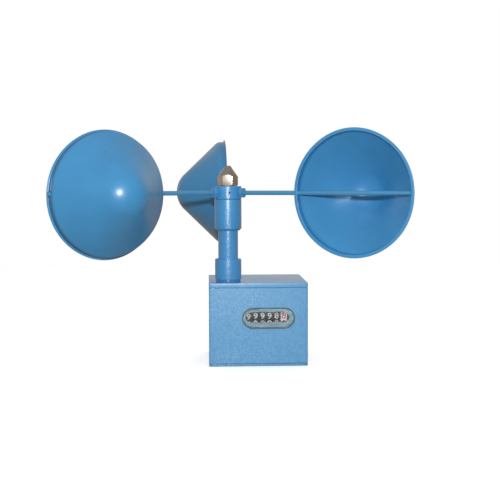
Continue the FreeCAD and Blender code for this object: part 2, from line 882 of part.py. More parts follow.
def flat_layer(label, bottom, thickness, inset, draw_openings):
    """A layer of the box with its outline drawn in from the box's faces, and rounded corners."""
    body = new_body(label)
    sketch = sketch_on(body, "XY_Plane", bottom)
    draw_footprint(sketch, inset)
    draw_openings(sketch)
    raised = pad(body, sketch, thickness)
    round_edges(body, raised, corner_edges(inset), f"box_corner - {inset}")
    return body


def mount_spots():
    """The four corners of the mounting pattern, centred under the box."""
    centre_x, centre_y = "(box_left + box_right) / 2", "(box_front + box_back) / 2"
    for side_x in ("-", "+"):
        for side_y in ("-", "+"):
            yield f"{centre_x} {side_x} mount_pitch_x / 2", f"{centre_y} {side_y} mount_pitch_y / 2"


def post_spots():
    """The centres of the four corner posts."""
    inset = "(sheet + gap + post_width / 2)"
    for x in (f"box_left + {inset}", f"box_right - {inset}"):
        for y in (f"box_front + {inset}", f"box_back - {inset}"):
            yield x, y


def make_box():
    case_bottom = "base_plate_thickness + base_gasket_thickness"
    case_top = "box_height - top_plate_thickness - top_gasket_thickness"
    case = new_body("case_shell")
    walls = sketch_on(case, "XY_Plane", case_bottom)
    draw_footprint(walls, "0")
    draw_footprint(walls, "sheet")
    raised = pad(case, walls, f"{case_top} - ({case_bottom})")
    round_edges(case, raised, corner_edges("0"), "box_corner")
    opening = sketch_on(case, "XZ_Plane", "-box_front")
    draw_obround(opening, "window_centre_x", "window_centre_z", "window_length", "window_height")
    pocket(case, opening, "2 * sheet")
    subpart("case_shell", case)

    top = flat_layer(
        "top_plate",
        "box_height - top_plate_thickness",
        "top_plate_thickness",
        "0",
        lambda sketch: draw_circle(sketch, "0", "0", "spigot_radius + fit"),
    )
    doc.recompute()
    outer = value("box_height")

    def rim(edge):
        box = edge.BoundBox
        high = near(box.ZMin, outer) and near(box.ZMax, outer)
        return high and edge.distToShape(Part.Vertex(0, 0, outer))[0] > value("spigot_radius") + 1

    rounded = top.Tip
    edge_break = top.newObject("PartDesign::Chamfer", "edge_break")
    edge_break.Base = (rounded, edges_where(rounded.Shape, rim))
    bind(edge_break, Size="top_plate_edge")
    subpart("top_plate", top)

    inner = "sheet + gap - fit"
    gasket = flat_layer(
        "top_gasket",
        case_top,
        "top_gasket_thickness",
        "seam_setback",
        lambda sketch: draw_footprint(sketch, inner),
    )
    subpart("top_gasket", gasket)
    gasket = flat_layer(
        "base_gasket",
        "base_plate_thickness",
        "base_gasket_thickness",
        "seam_setback",
        lambda sketch: draw_footprint(sketch, inner),
    )
    subpart("base_gasket", gasket)

    def base_holes(sketch):
        for x, y in mount_spots():
            draw_circle(sketch, x, y, "mount_hole")
        for x, y in post_spots():
            draw_circle(sketch, x, y, "base_screw_radius + fit")

    base = flat_layer("base_plate", "0", "base_plate_thickness", "0", base_holes)
    sinks = sketch_on(base, "XY_Plane")
    for x, y in post_spots():
        draw_circle(sinks, x, y, "base_screw_head + fit")
    pocket(base, sinks, "base_plate_thickness / 2", away=True)
    subpart("base_plate", base)

    nuts = []
    for x, y in mount_spots():
        blank = prism("mount_nut_width", "mount_nut_thickness")
        nut = cut(blank, cylinder("mount_hole", "mount_nut_thickness"))
        nuts.append(place(nut, x, y, "base_plate_thickness"))
    subpart("mounting_nuts", group(nuts))

    posts, screws = [], []
    foot = "base_plate_thickness"
    for x, y in post_spots():
        bar = doc.addObject("Part::Box", "bar")
        bind(
            bar,
            Length="post_width",
            Width="post_width",
            Height="box_height - top_plate_thickness - base_plate_thickness",
        )
        place(bar, f"{x} - post_width / 2", f"{y} - post_width / 2", foot)
        hole = cylinder("base_screw_radius + fit", "base_screw_length + 1", x, y, foot)
        posts.append(cut(bar, hole))
        head = cylinder("base_screw_head", "base_plate_thickness / 2", x, y, "0")
        stem = cylinder("base_screw_radius", "base_screw_length", x, y, "0")
        slot = prism("2 * socket_width", "base_plate_thickness / 4", x, y, "0")
        screws.append(cut(fuse(head, stem), slot))
    subpart("corner_posts", group(posts))
    subpart("base_screws", group(screws))


def make_window():
    """The rubber channel round the window, its glass, and the counter's face behind it."""
    place_x, place_z = "window_centre_x", "window_centre_z"
    body = new_body("window_gasket")
    bead = sketch_on(body, "XZ_Plane", "-box_front + gasket_proud")
    draw_obround(bead, place_x, place_z, "window_length - 2 * fit", "window_height - 2 * fit")
    lip = "2 * gasket_lip"
    draw_obround(bead, place_x, place_z, f"window_length - {lip}", f"window_height - {lip}")
    channel = pad(body, bead, "gasket_proud + sheet + gasket_proud")
    channel.Reversed = True
    flange = sketch_on(body, "XZ_Plane", "-box_front - sheet - fit")
    wide = "2 * gasket_flange"
    draw_obround(flange, place_x, place_z, f"window_length + {wide}", f"window_height + {wide}")
    draw_obround(flange, place_x, place_z, f"window_length - {lip}", f"window_height - {lip}")
    backing = pad(body, flange, "gasket_proud")
    backing.Reversed = True
    subpart("window_gasket", body)

    glass = new_body("window_glass")
    sketch = sketch_on(glass, "XZ_Plane", "-box_front - glass_setback + sheet / 2")
    inside = "2 * gasket_lip + 2 * fit"
    draw_obround(sketch, place_x, place_z, f"window_length - ({inside})", f"window_height - ({inside})")
    pane = pad(glass, sketch, "glass_thickness")
    pane.Reversed = True
    subpart("window_glass", glass)

    mask = new_body("counter_mask")
    sketch = sketch_on(mask, "XZ_Plane", "-mask_front")
    draw_box(sketch, "centre_plate_x", "frame_right", "mask_bottom", "mask_top")
    draw_obround(
        sketch, "aperture_centre_x", "aperture_centre_z", "aperture_length", "aperture_height"
    )
    face = pad(mask, sketch, "mask_thickness")
    face.Reversed = True
    tabs = sketch_on(mask, "XZ_Plane", "-mask_front - mask_thickness")
    for left in ("centre_plate_x", "frame_right - frame_sheet"):
        draw_box(tabs, left, f"{left} + frame_sheet", "mask_bottom", "mask_top")
    feet = pad(mask, tabs, "frame_front - fit - mask_front - mask_thickness")
    feet.Reversed = True
    subpart("counter_mask", mask)


# ---------------------------------------------------------------- gears and counter


def tooth_gap(teeth, module):
    """Corners of the space between two teeth, as (radius along X, half width) pairs.

    The flank follows the involute at the root, base, pitch and tip circles, and then opens
    a little so that the cut runs clear of the blank.
    """
    pitch_radius = module * teeth / 2
    base = pitch_radius * math.cos(PRESSURE_ANGLE)
    at_pitch = math.tan(PRESSURE_ANGLE) - PRESSURE_ANGLE
    flank = []
    for radius in (pitch_radius - DEDENDUM * module, base, pitch_radius, pitch_radius + module):
        lean = math.acos(min(1.0, base / radius))
        tooth = math.pi / (2 * teeth) + at_pitch - (math.tan(lean) - lean)
        half = radius * math.sin(math.pi / teeth - tooth)
        flank.append((radius, half + BACKLASH * module))
    tip_radius, tip_half = flank[-1]
    flank.append((tip_radius + module, tip_half * 1.1))
    return sorted(flank)


def cut_teeth(body, teeth, module, low, width, lead=0.0):
    """Cut evenly spaced tooth gaps, leaning by the lead angle, into a gear's blank."""
    size = value(module)
    flank = tooth_gap(value(teeth), size)
    turn = FreeCAD.Rotation(X_AXIS, -lead)
    sketch = body.newObject("Sketcher::SketchObject", "gap")
    plane = next(f for f in body.Origin.OriginFeatures if f.Role == "XY_Plane")
    sketch.AttachmentSupport = [(plane, "")]
    sketch.MapMode = "FlatFace"
    middle = FreeCAD.Vector(0, 0, value(low) + value(width) / 2)
    half = value(width) / 2 + (1 if lead else 0)
    top = middle + turn.multVec(FreeCAD.Vector(0, 0, half))
    sketch.AttachmentOffset = FreeCAD.Placement(top, turn)
    outline = [(x, -y) for x, y in flank] + [(x, y) for x, y in reversed(flank)]
    draw_outline(sketch, outline)
    space = pocket(body, sketch, f"{width} + {2 if lead else 0}")
    return around(body, space, teeth)


def gear_body(label, teeth, module, width, hub_outline, lead=0.0):
    """A gear on its own Z axis: blank, hub and bore turned in one, then the teeth cut."""
    body = new_body(label)
    tip = f"{module} * ({teeth} / 2 + 1)"
    revolve(body, hub_outline(tip, width))
    doc.recompute()
    cut_teeth(body, teeth, module, "0", width, lead)
    return body


def gear_with_hub(tip, width):
    """Half section of a gear with a hub on its far side."""
    bore = "gear_shaft_radius + fit"
    return [
        (bore, "0"),
        (tip, "0"),
        (tip, width),
        ("gear_hub_radius", width),
        ("gear_hub_radius", f"{width} + gear_hub_length"),
        (bore, f"{width} + gear_hub_length"),
    ]


def turn_along_x(angle):
    """Lay a gear's own Z axis along X, then turn it about X by an angle."""
    lay = FreeCAD.Rotation(Y_AXIS, 90)
    return FreeCAD.Rotation(X_AXIS, angle).multiply(lay)


def make_gear_train():
    """The worm wheel and the spur gear beside it on one shaft behind the drums."""
    lead = math.degrees(math.atan(value("gear_module / (2 * worm_pitch_radius)")))
    # a gap's own X axis lies along -Z once the gear is laid along X
    facing_front, facing_back = -90, 90
    half_tooth = 180 / value("spur_teeth")
    wheel = gear_body("worm_wheel", "wheel_teeth", "gear_module", "wheel_width", gear_with_hub, lead)
    hole = sketch_on(wheel, "YZ_Plane")
    draw_circle(hole, "0", "wheel_width + gear_hub_length / 2", "grub_radius + fit")
    pocket(wheel, hole, "gear_hub_radius + 1", away=True)
    place(wheel, "-wheel_width / 2", "gear_shaft_y", "gear_height", turn_along_x(facing_front))
    subpart("worm_wheel", wheel)

    def hub_towards_wheel(tip, width):
        bore = "gear_shaft_radius + fit"
        return [
            (bore, "-gear_hub_length"),
            ("gear_hub_radius", "-gear_hub_length"),
            ("gear_hub_radius", "0"),
            (tip, "0"),
            (tip, width),
            (bore, width),
        ]

    drive = gear_body("drive_gear", "spur_teeth", "gear_module", "spur_width", hub_towards_wheel)
    hole = sketch_on(drive, "YZ_Plane")
    draw_circle(hole, "0", "-gear_hub_length / 2", "grub_radius + fit")
    pocket(drive, hole, "gear_hub_radius + 1", away=True)
    turn = turn_along_x(facing_front + half_tooth)
    place(drive, "spur_x", "gear_shaft_y", "gear_height", turn)
    subpart("drive_gear", drive)

    grubs = []
    screw_start = "gear_shaft_radius + fit"
    for gear, along in ((wheel, "wheel_width + gear_hub_length / 2"), (drive, "-gear_hub_length / 2")):
        stem = cylinder("grub_radius", "gear_hub_radius - gear_shaft_radius")
        socket = prism("socket_width", "socket_depth", z="gear_hub_radius - gear_shaft_radius - socket_depth")
        screw = cut(stem, socket)
        local = FreeCAD.Placement(FreeCAD.Vector(value(screw_start), 0, value(along)), ALONG_X)
        screw.Placement = gear.Placement.multiply(local)
        grubs.append(screw)
    subpart("gear_grub_screws", group(grubs))

    shaft = cylinder("gear_shaft_radius", "frame_right - frame_left + 2 * shaft_overhang")
    place(shaft, "frame_left - shaft_overhang", "gear_shaft_y", "gear_height", ALONG_X)
    subpart("gear_shaft", shaft)

    def hub_towards_drum(tip, width):
        bore = "counter_shaft_radius + fit"
        drum_end = "first_drum_x + (drum_count - 1) * drum_pitch + drum_width / 2 + drum_side"
        reach = f"spur_x - ({drum_end}) - fit"
        return [
            (bore, f"-({reach})"),
            ("gear_hub_radius", f"-({reach})"),
            ("gear_hub_radius", "0"),
            (tip, "0"),
            (tip, width),
            (bore, width),
        ]

    counter = gear_body("counter_gear", "spur_teeth", "gear_module", "spur_width", hub_towards_drum)
    place(counter, "spur_x", "counter_y", "gear_height", turn_along_x(facing_back))
    subpart("counter_gear", counter)


def make_drum(number):
    """A digit drum on its own Z axis: rim, 20-tooth ring on the right, two-tooth disc on the left.

    The last drum has no ring, and its rim is wider by as much.
    """
    body = new_body(f"digit_drum_{number}")
    last = number == int(value("drum_count"))
    first = number == 1
    bore = "counter_shaft_radius + fit"
    half = "drum_width / 2"
    side = f"{half} + drum_side"
    ring = "transfer_module * (transfer_teeth / 2 + 1)"
    left = f"-({half})" if first else f"-({side})"
    right = side if last else half
    outline = [(bore, left)]
    if not first:
        outline += [("transfer_disc_radius", left), ("transfer_disc_radius", f"-({half})")]
    outline += [
        ("drum_radius - drum_edge", f"-({half})"),
        ("drum_radius", f"-({half}) + drum_edge"),
        ("drum_radius", f"{right} - drum_edge"),
        ("drum_radius - drum_edge", right),
    ]
    if last:
        outline += [(bore, right)]
    else:
        outline += [(ring, half), (ring, side), (bore, side)]
    revolve(body, outline)
    doc.recompute()
    if not first:
        teeth = sketch_on(body, "XY_Plane", f"-({side})")
        inside, outside = "transfer_tooth_inside", "transfer_tooth_outside"
        for low, high in ((f"-{outside}", f"-{inside}"), (inside, outside)):
            draw_box(teeth, "-transfer_tooth_radius", "-transfer_tooth_root", low, high)
        pad(body, teeth, "drum_side")
        doc.recompute()
    if not last:
        cut_teeth(body, "transfer_teeth", "transfer_module", half, "drum_side")
    # the ring's gap faces the pinion, and the two-tooth segment stands at the upper front
    x = f"first_drum_x + {number - 1} * drum_pitch"
    place(body, x, "counter_y", "gear_height", turn_along_x(value("pinion_angle") + 90))
    subpart(f"digit_drum_{number}", body)


def pinion_centre():
    """Where the transfer pinions' shaft stands, as (y, z) formulas."""
    away = "transfer_module * (transfer_teeth + pinion_teeth) / 2"
    return f"counter_y + {away} * cos(pinion_angle)", f"gear_height + {away} * sin(pinion_angle)"


def make_pinion(number):
    """The pinion that carries from one drum to the next higher one."""
    body = new_body(f"transfer_pinion_{number}")
    bore = "pinion_shaft_radius + fit"
    tip = "transfer_module * (pinion_teeth / 2 + pinion_addendum)"
    revolve(body, [(bore, "0"), (tip, "0"), (tip, "pinion_width"), (bore, "pinion_width")])
    doc.recompute()
    cut_teeth(body, "pinion_teeth", "transfer_module", "0", "pinion_width")
    y, z = pinion_centre()
    x = f"first_drum_x + {number - 0.5} * drum_pitch - pinion_width / 2"
    # a tooth, half a tooth pitch from a gap, faces the drums
    turn = turn_along_x(value("pinion_angle") - 90 + 180 / value("pinion_teeth"))
    place(body, x, y, z, turn)
    subpart(f"transfer_pinion_{number}", body)


def make_counter_shafts():
    y, z = pinion_centre()
    length = "frame_right - centre_plate_x + 2 * shaft_overhang"
    start = "centre_plate_x - shaft_overhang"
    fixed = cylinder("counter_shaft_radius", length)
    subpart("counter_shaft", place(fixed, start, "counter_y", "gear_height", ALONG_X))
    carrier = cylinder("pinion_shaft_radius", length)
    subpart("pinion_shaft", place(carrier, start, y, z, ALONG_X))
    clips = []
    for radius, cy, cz in (
        ("counter_shaft_radius", "counter_y", "gear_height"),
        ("pinion_shaft_radius", y, z),
    ):
        for x in ("centre_plate_x - fit - clip_thickness", "frame_right + fit"):
            blank = cylinder(f"{radius} + clip_margin", "clip_thickness")
            disc = cut(blank, cylinder(f"{radius} + fit", "clip_thickness"))
            slot = doc.addObject("Part::Box", "slot")
            bind(slot, Length=f"2 * {radius}", Width=f"1.4 * {radius}", Height="clip_thickness")
            place(slot, "0", f"-0.7 * {radius}")
            clips.append(place(cut(disc, slot), x, cy, cz, ALONG_X))
    subpart("shaft_clips", group(clips))


# ---------------------------------------------------------------- movement frame


def standoff_spots():
    """Where the deck hangs from the top plate, clear of the wheel and the drums."""
    return [
        ("standoff_left", "standoff_back"),
        ("standoff_right", "standoff_back"),
        ("standoff_right", "standoff_front"),
        ("standoff_middle", "standoff_front"),
    ]


def draw_shaft_holes(sketch, with_bush):
    """Holes for the gear shaft, the counter shaft and the pinion shaft, in a plate along YZ."""
    y, z = pinion_centre()
    draw_circle(sketch, "gear_shaft_y", "gear_height", with_bush)
    draw_circle(sketch, "counter_y", "gear_height", "counter_shaft_radius + fit")
    draw_circle(sketch, y, z, "pinion_shaft_radius + fit")


def make_frame():
    """A folded sheet: a deck that hangs from the top plate, with a leg at each end."""
    body = new_body("movement_frame")
    deck = sketch_on(body, "XY_Plane", "deck_top - frame_sheet")
    draw_box(deck, "frame_left", "frame_right", "frame_front", "frame_back")
    draw_circle(deck, "0", "0", "deck_hole")
    for x, y in standoff_spots():
        draw_circle(deck, x, y, "frame_screw_radius + fit")
    pad(body, deck, "frame_sheet")
    leg_top = "deck_top - frame_sheet"
    left = sketch_on(body, "YZ_Plane", "frame_left")
    draw_box(left, "frame_front", "frame_back", "frame_bottom", leg_top)
    draw_circle(left, "gear_shaft_y", "gear_height", "bush_radius + fit")
    pad(body, left, "frame_sheet")
    right = sketch_on(body, "YZ_Plane", "frame_right - frame_sheet")
    draw_box(right, "frame_front", "frame_back", "frame_bottom", leg_top)
    draw_shaft_holes(right, "bush_radius + fit")
    pad(body, right, "frame_sheet")
    subpart("movement_frame", body)

    plate = new_body("centre_plate")
    web = sketch_on(plate, "YZ_Plane", "centre_plate_x")
    draw_box(web, "frame_front", "frame_back", "frame_bottom", f"{leg_top} - fit")
    draw_shaft_holes(web, "gear_shaft_radius + 1")
    pad(plate, web, "frame_sheet")
    fold = sketch_on(plate, "XY_Plane", f"{leg_top} - fit - frame_sheet")
    draw_box(fold, "centre_plate_x + frame_sheet", "centre_plate_x + fold_reach", "fold_front", "frame_back")
    pad(plate, fold, "frame_sheet")
    subpart("centre_plate", plate)

    standoffs, screws = [], []
    top = "box_height - top_plate_thickness"
    for x, y in standoff_spots():
        bar = prism("standoff_width", f"{top} - deck_top", x, y, "deck_top")
        hole = cylinder("frame_screw_radius + fit", "frame_screw_length", x, y, "deck_top")
        standoffs.append(cut(bar, hole))
        under = "deck_top - frame_sheet"
        head_foot = f"{under} - frame_screw_head_height"
        head = cylinder("frame_screw_head", "frame_screw_head_height", x, y, head_foot)
        stem = cylinder("frame_screw_radius", "frame_screw_length", x, y, under)
        socket = prism("socket_width", "socket_depth", x, y, head_foot)
        screws.append(cut(fuse(head, stem), socket))
    subpart("deck_standoffs", group(standoffs))
    subpart("deck_screws", group(screws))

    bushes = []
    for x, side in (("frame_left", 1), ("frame_right - frame_sheet", -1)):
        sleeve = cylinder("bush_radius", "frame_sheet", x, "gear_shaft_y", "gear_height", ALONG_X)
        thickness = "bush_flange_thickness"
        flange_x = f"{x} + frame_sheet" if side > 0 else f"{x} - {thickness}"
        flange = cylinder("bush_flange", thickness, flange_x, "gear_shaft_y", "gear_height", ALONG_X)
        bore_x, bore_length = f"{x} - {thickness}", f"frame_sheet + 2 * {thickness}"
        clear = "gear_shaft_radius + fit"
        bore = cylinder(clear, bore_length, bore_x, "gear_shaft_y", "gear_height", ALONG_X)
        bushes.append(cut(fuse(sleeve, flange), bore))
    subpart("shaft_bushes", group(bushes))

    bracket = new_body("footstep_bracket")
    profile = sketch_on(bracket, "XZ_Plane", "bracket_width / 2")
    left_x, right_x = "frame_left + frame_sheet + fit", "centre_plate_x - fit"
    low = "bracket_height"
    bar_top = "bracket_height + frame_sheet"
    tab_top = "frame_bottom + bracket_tab"
    draw_outline(
        profile,
        [
            (left_x, low),
            (right_x, low),
            (right_x, tab_top),
            (f"{right_x} - frame_sheet", tab_top),
            (f"{right_x} - frame_sheet", bar_top),
            (f"{left_x} + frame_sheet", bar_top),
            (f"{left_x} + frame_sheet", tab_top),
            (left_x, tab_top),
        ],
    )
    bent = pad(bracket, profile, "bracket_width")
    bent.Reversed = True
    seat = sketch_on(bracket, "XY_Plane", bar_top)
    draw_circle(seat, "0", "0", "footstep_radius + fit")
    pocket(bracket, seat, "2 * frame_sheet")
    subpart("footstep_bracket", bracket)
    turned_part(
        "footstep_bush",
        [
            ("0", "pivot_bottom - gap - footstep_wall"),
            ("footstep_radius", "pivot_bottom - gap - footstep_wall"),
            ("footstep_radius", f"{bar_top} + fit"),
            ("footstep_flange", f"{bar_top} + fit"),
            ("footstep_flange", f"{bar_top} + footstep_wall"),
            ("pivot_radius + fit", f"{bar_top} + footstep_wall"),
            ("pivot_radius + fit", "pivot_bottom - gap"),
            ("0", "pivot_bottom - gap"),
        ],
    )


def build():
    for name, azimuth in zip(CUP_NAMES, arm_azimuths()):
        make_cup(name, azimuth)
        make_arm(name, azimuth)
    make_lock_nuts()
    make_hub()
    make_rotor_screws()
    make_cap_nut()
    make_spindle()
    make_bearings()
    make_retaining_rings()
    make_worm()
    make_column()
    make_box()
    make_window()
    make_gear_train()
    for number in range(1, int(value("drum_count")) + 1):
        make_drum(number)
    for number in range(1, int(value("drum_count"))):
        make_pinion(number)
    make_counter_shafts()
    make_frame()


def check():
    """Stop before writing if any object failed, or a sub-part is empty or not valid."""
    doc.recompute()
    faults = [f"{o.Name}: {o.State}" for o in doc.Objects if {"Invalid", "Error"} & set(o.State)]
    for thing in subparts:
        shape = thing.Shape
        if shape.isNull() or not shape.isValid() or not shape.Solids:
            faults.append(f"{thing.Label}: shape is null, not valid or has no solid")
    if faults:
        raise RuntimeError("; ".join(faults))


build()
check()
os.makedirs("parts", exist_ok=True)
for thing in subparts:
    thing.Shape.exportStep(f"parts/{thing.Label}.step")
print(len(subparts), "sub-parts written")
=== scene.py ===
import json
import math

import bmesh
import bpy
from mathutils import Matrix, Vector, noise


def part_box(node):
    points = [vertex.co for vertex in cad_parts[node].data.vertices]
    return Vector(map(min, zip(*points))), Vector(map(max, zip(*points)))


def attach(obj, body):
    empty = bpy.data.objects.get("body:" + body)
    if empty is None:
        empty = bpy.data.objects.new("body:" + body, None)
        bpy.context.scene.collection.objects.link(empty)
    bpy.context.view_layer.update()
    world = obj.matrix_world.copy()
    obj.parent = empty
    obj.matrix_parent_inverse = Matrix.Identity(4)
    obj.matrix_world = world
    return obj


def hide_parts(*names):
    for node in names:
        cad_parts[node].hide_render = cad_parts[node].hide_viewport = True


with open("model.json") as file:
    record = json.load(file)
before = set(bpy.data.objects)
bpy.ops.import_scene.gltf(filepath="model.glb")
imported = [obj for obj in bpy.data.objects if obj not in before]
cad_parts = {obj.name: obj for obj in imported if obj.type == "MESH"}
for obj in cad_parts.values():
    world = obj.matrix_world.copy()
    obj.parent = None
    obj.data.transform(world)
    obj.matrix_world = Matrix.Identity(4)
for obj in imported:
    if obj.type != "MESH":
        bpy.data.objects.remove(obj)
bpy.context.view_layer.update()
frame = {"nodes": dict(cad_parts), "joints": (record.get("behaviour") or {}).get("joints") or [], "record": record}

# Lengths are in metres, in the CAD frame: +Z up, the spindle's axis at X = Y = 0, and the counter's
# window facing -Y.
MM = 0.001
UP = Vector((0, 0, 1))
FRONT = Vector((0, -1, 0))
RIGHT = Vector((1, 0, 0))
CUP_NAMES = ["rear", "left", "right"]
SMOOTH_BELOW = math.radians(32)
ARC_STEP = math.radians(9)
SAME_POINT = 1e-7

BODIES = frame["record"]["behaviour"]["bodies"]
NODE_BODY = {node: body for body, nodes in BODIES.items() for node in nodes}
NODE_SLOT = {part["node"]: part["material_slot"] for part in frame["record"]["subparts"]}


# ---------------------------------------------------------------- measures taken from the frame


def points_of(node):
    return [vertex.co for vertex in frame["nodes"][node].data.vertices]


def span(node, direction):
    """Lowest and highest distance of a node's points along a direction."""
    reach = [point.dot(direction) for point in points_of(node)]
    return min(reach), max(reach)


def arm_direction(name):
    """Unit vector out along an arm."""
    points = points_of("arm_" + name)
    middle = sum(points, Vector()) / len(points)
    return Vector((middle.x, middle.y, 0)).normalized()


def rod_of(name):
    """Height and radius of an arm's rod."""
    low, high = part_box("arm_" + name)
    return (low.z + high.z) / 2, (high.z - low.z) / 2


def radius_of(node):
    """Outer radius of a node that is round about the spindle's axis."""
    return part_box(node)[1].x


def joint_point(name):
    return Vector(next(joint["pos_m"] for joint in frame["joints"] if joint["name"] == name))


# ---------------------------------------------------------------- outlines


def rounded(corners, closed=False):
    """Points of an outline whose corners (x, y, radius) are rounded by arcs."""
    points = []
    count = len(corners)
    for n, (x, y, radius) in enumerate(corners):
        corner = Vector((x, y))
        ends = not closed and n in (0, count - 1)
        if radius <= 0 or ends:
            points.append(corner)
            continue
        before = (Vector(corners[n - 1][:2]) - corner).normalized()
        after = (Vector(corners[(n + 1) % count][:2]) - corner).normalized()
        half = before.angle(after) / 2
        centre = corner + (before + after).normalized() * (radius / math.sin(half))
        start = corner + before * (radius / math.tan(half)) - centre
        sweep = start.angle_signed(corner + after * (radius / math.tan(half)) - centre)
        pieces = max(2, math.ceil(abs(sweep) / ARC_STEP))
        for k in range(pieces + 1):
            turn = Matrix.Rotation(-sweep * k / pieces, 2)
            points.append(centre + turn @ start)
    return points


def obround(width, height, pieces=24):
    """Outline of a slot with half-round ends, centred on the origin."""
    radius = height / 2
    points = []
    for side, start in ((1, -math.pi / 2), (-1, math.pi / 2)):
        centre = side * (width / 2 - radius)
        for k in range(pieces + 1):
            angle = start + math.pi * k / pieces
            points.append(Vector((centre + radius * math.cos(angle), radius * math.sin(angle))))
    return points


def finer(points, longest):
    """The same closed outline with extra points, so that none are further apart than longest."""
    result = []
    for n, point in enumerate(points):
        after = points[(n + 1) % len(points)]
        pieces = max(1, math.ceil((after - point).length / longest))
        result += [point.lerp(after, k / pieces) for k in range(pieces)]
    return result


def rectangle(width, height, radius):
    x, y = width / 2, height / 2
    return rounded([(-x, -y, radius), (x, -y, radius), (x, y, radius), (-x, y, radius)], closed=True)


# ---------------------------------------------------------------- meshes


def basis(origin, along, across):
    """Matrix that carries local Z to along and local X to across, at an origin."""
    third = along.cross(across)
    turn = Matrix((across, third, along)).transposed().to_4x4()
    return Matrix.Translation(origin) @ turn


def add_object(name, data):
    """A new object in the scene for a mesh, curve, light or camera."""
    made = bpy.data.objects.new(name, data)
    bpy.context.scene.collection.objects.link(made)
    return made


def mesh_object(name, vertices, faces, matrix=None):
    """An object from points and faces, with doubled points merged and faces turned outward."""
    mesh = bpy.data.meshes.new(name)
    mesh.from_pydata([tuple(v) for v in vertices], [], faces)
    if matrix is not None:
        mesh.transform(matrix)
    cleaned = bmesh.new()
    cleaned.from_mesh(mesh)
    bmesh.ops.remove_doubles(cleaned, verts=cleaned.verts, dist=SAME_POINT)
    bmesh.ops.recalc_face_normals(cleaned, faces=cleaned.faces)
    cleaned.to_mesh(mesh)
    cleaned.free()
    shade(mesh)
    return add_object(name, mesh)


def shade(mesh):
    """Smooth shading, with sharp edges where faces meet at a clear angle."""
    for face in mesh.polygons:
        face.use_smooth = True
    mesh.set_sharp_from_angle(angle=SMOOTH_BELOW)


def lathe(name, profile, matrix=None, segments=128, closed=True):
    """Turns a profile of (radius, height) points about local Z."""
    vertices, rows, faces = [], [], []
    for radius, height in profile:
        row = []
        turns = segments if radius > SAME_POINT else 1
        for k in range(turns):
            angle = 2 * math.pi * k / segments
            row.append(len(vertices))
            vertices.append(Vector((radius * math.cos(angle), radius * math.sin(angle), height)))
        rows.append(row)
    pairs = list(zip(rows, rows[1:]))
    if closed:
        pairs.append((rows[-1], rows[0]))
    for low, high in pairs:
        for k in range(segments):
            after = k + 1
            corners = [low[k % len(low)], low[after % len(low)]]
            corners += [high[after % len(high)], high[k % len(high)]]
            distinct = list(dict.fromkeys(corners))
            if len(distinct) > 2:
                faces.append(distinct)
    return mesh_object(name, vertices, faces, matrix)


def stack(name, layers, matrix):
    """A solid whose outline changes with height. The layers are (height, outline), and the outlines
    have equal point counts."""
    vertices, faces = [], []
    count = len(layers[0][1])
    for height, outline in layers:
        vertices += [Vector((point.x, point.y, height)) for point in outline]
    for level in range(len(layers) - 1):
        low, high = level * count, (level + 1) * count
        for k in range(count):
            after = (k + 1) % count
            faces.append([low + k, low + after, high + after, high + k])
    faces.append(list(range(count)))
    faces.append([(len(layers) - 1) * count + k for k in range(count)])
    return mesh_object(name, vertices, faces, matrix)


def evaluated_mesh(item):
    """A mesh of an object as it is after its modifiers, or of its text."""
    bpy.context.view_layer.update()
    shown = item.evaluated_get(bpy.context.evaluated_depsgraph_get())
    return bpy.data.meshes.new_from_object(shown)


def cut_away(piece, *cutters):
    """Takes the cutters' shapes out of a piece and deletes them."""
    for cutter in cutters:
        change = piece.modifiers.new("cut", "BOOLEAN")
        change.operation = "DIFFERENCE"
        change.solver = "EXACT"
        change.object = cutter
    piece.data = evaluated_mesh(piece)
    piece.modifiers.clear()
    shade(piece.data)
    for cutter in cutters:
        bpy.data.objects.remove(cutter)
    return piece


def joined(name, *parts):
    """One piece from several meshes."""
    whole = bmesh.new()
    for part in parts:
        whole.from_mesh(part.data)
    mesh = bpy.data.meshes.new(name)
    whole.to_mesh(mesh)
    whole.free()
    shade(mesh)
    for part in parts:
        bpy.data.objects.remove(part)
    return add_object(name, mesh)


def ring_faces(count, rows):
    """Faces that join count closed sections, each of rows points, into a ring."""
    faces = []
    for k in range(count):
        here, after = k * rows, (k + 1) % count * rows
        for n in range(rows):
            up = (n + 1) % rows
            faces.append([here + n, after + n, after + up, here + up])
    return faces


HEXAGON_SEGMENTS = 240


def hexagon_radius(angle, flats, corner):
    """Distance from the axis to a hexagon's side, for a width across flats and rounded corners."""
    half_side = math.pi / 6
    off_flat = abs((angle + half_side) % (2 * half_side) - half_side)
    off_corner = half_side - off_flat
    centre = (flats / 2 - corner) / math.cos(half_side)
    arc = math.atan2(corner * math.sin(half_side), centre + corner * math.cos(half_side))
    if off_corner > arc:
        return flats / 2 / math.cos(off_flat)
    return centre * math.cos(off_corner) + math.sqrt(corner ** 2 - (centre * math.sin(off_corner)) ** 2)


def hexagon_body(name, flats, corner, section, matrix):
    """A turned shape cut to a hexagon. Where the hexagon's side is at a limit, section(limit) gives the
    (radius, height, rounding) corners, so a chamfer meets the flats in arcs."""
    vertices = []
    for k in range(HEXAGON_SEGMENTS):
        angle = 2 * math.pi * k / HEXAGON_SEGMENTS
        points = rounded(section(hexagon_radius(angle, flats, corner)), closed=True)
        vertices += [Vector((p.x * math.cos(angle), p.x * math.sin(angle), p.y)) for p in points]
    faces = ring_faces(HEXAGON_SEGMENTS, len(points))
    return mesh_object(name, vertices, faces, matrix)


# ---------------------------------------------------------------- materials


def set_stops(ramp, stops):
    """Puts (position, colour) stops on a colour ramp node."""
    elements = ramp.color_ramp.elements
    while len(elements) < len(stops):
        elements.new(0.5)
    for element, (position, colour) in zip(elements, stops):
        element.position = position
        element.color = (*colour, 1)


# Sockets of a Mix node that is set to colours.
FACTOR, FIRST_COLOUR, SECOND_COLOUR, MIXED_COLOUR = 0, 6, 7, 2


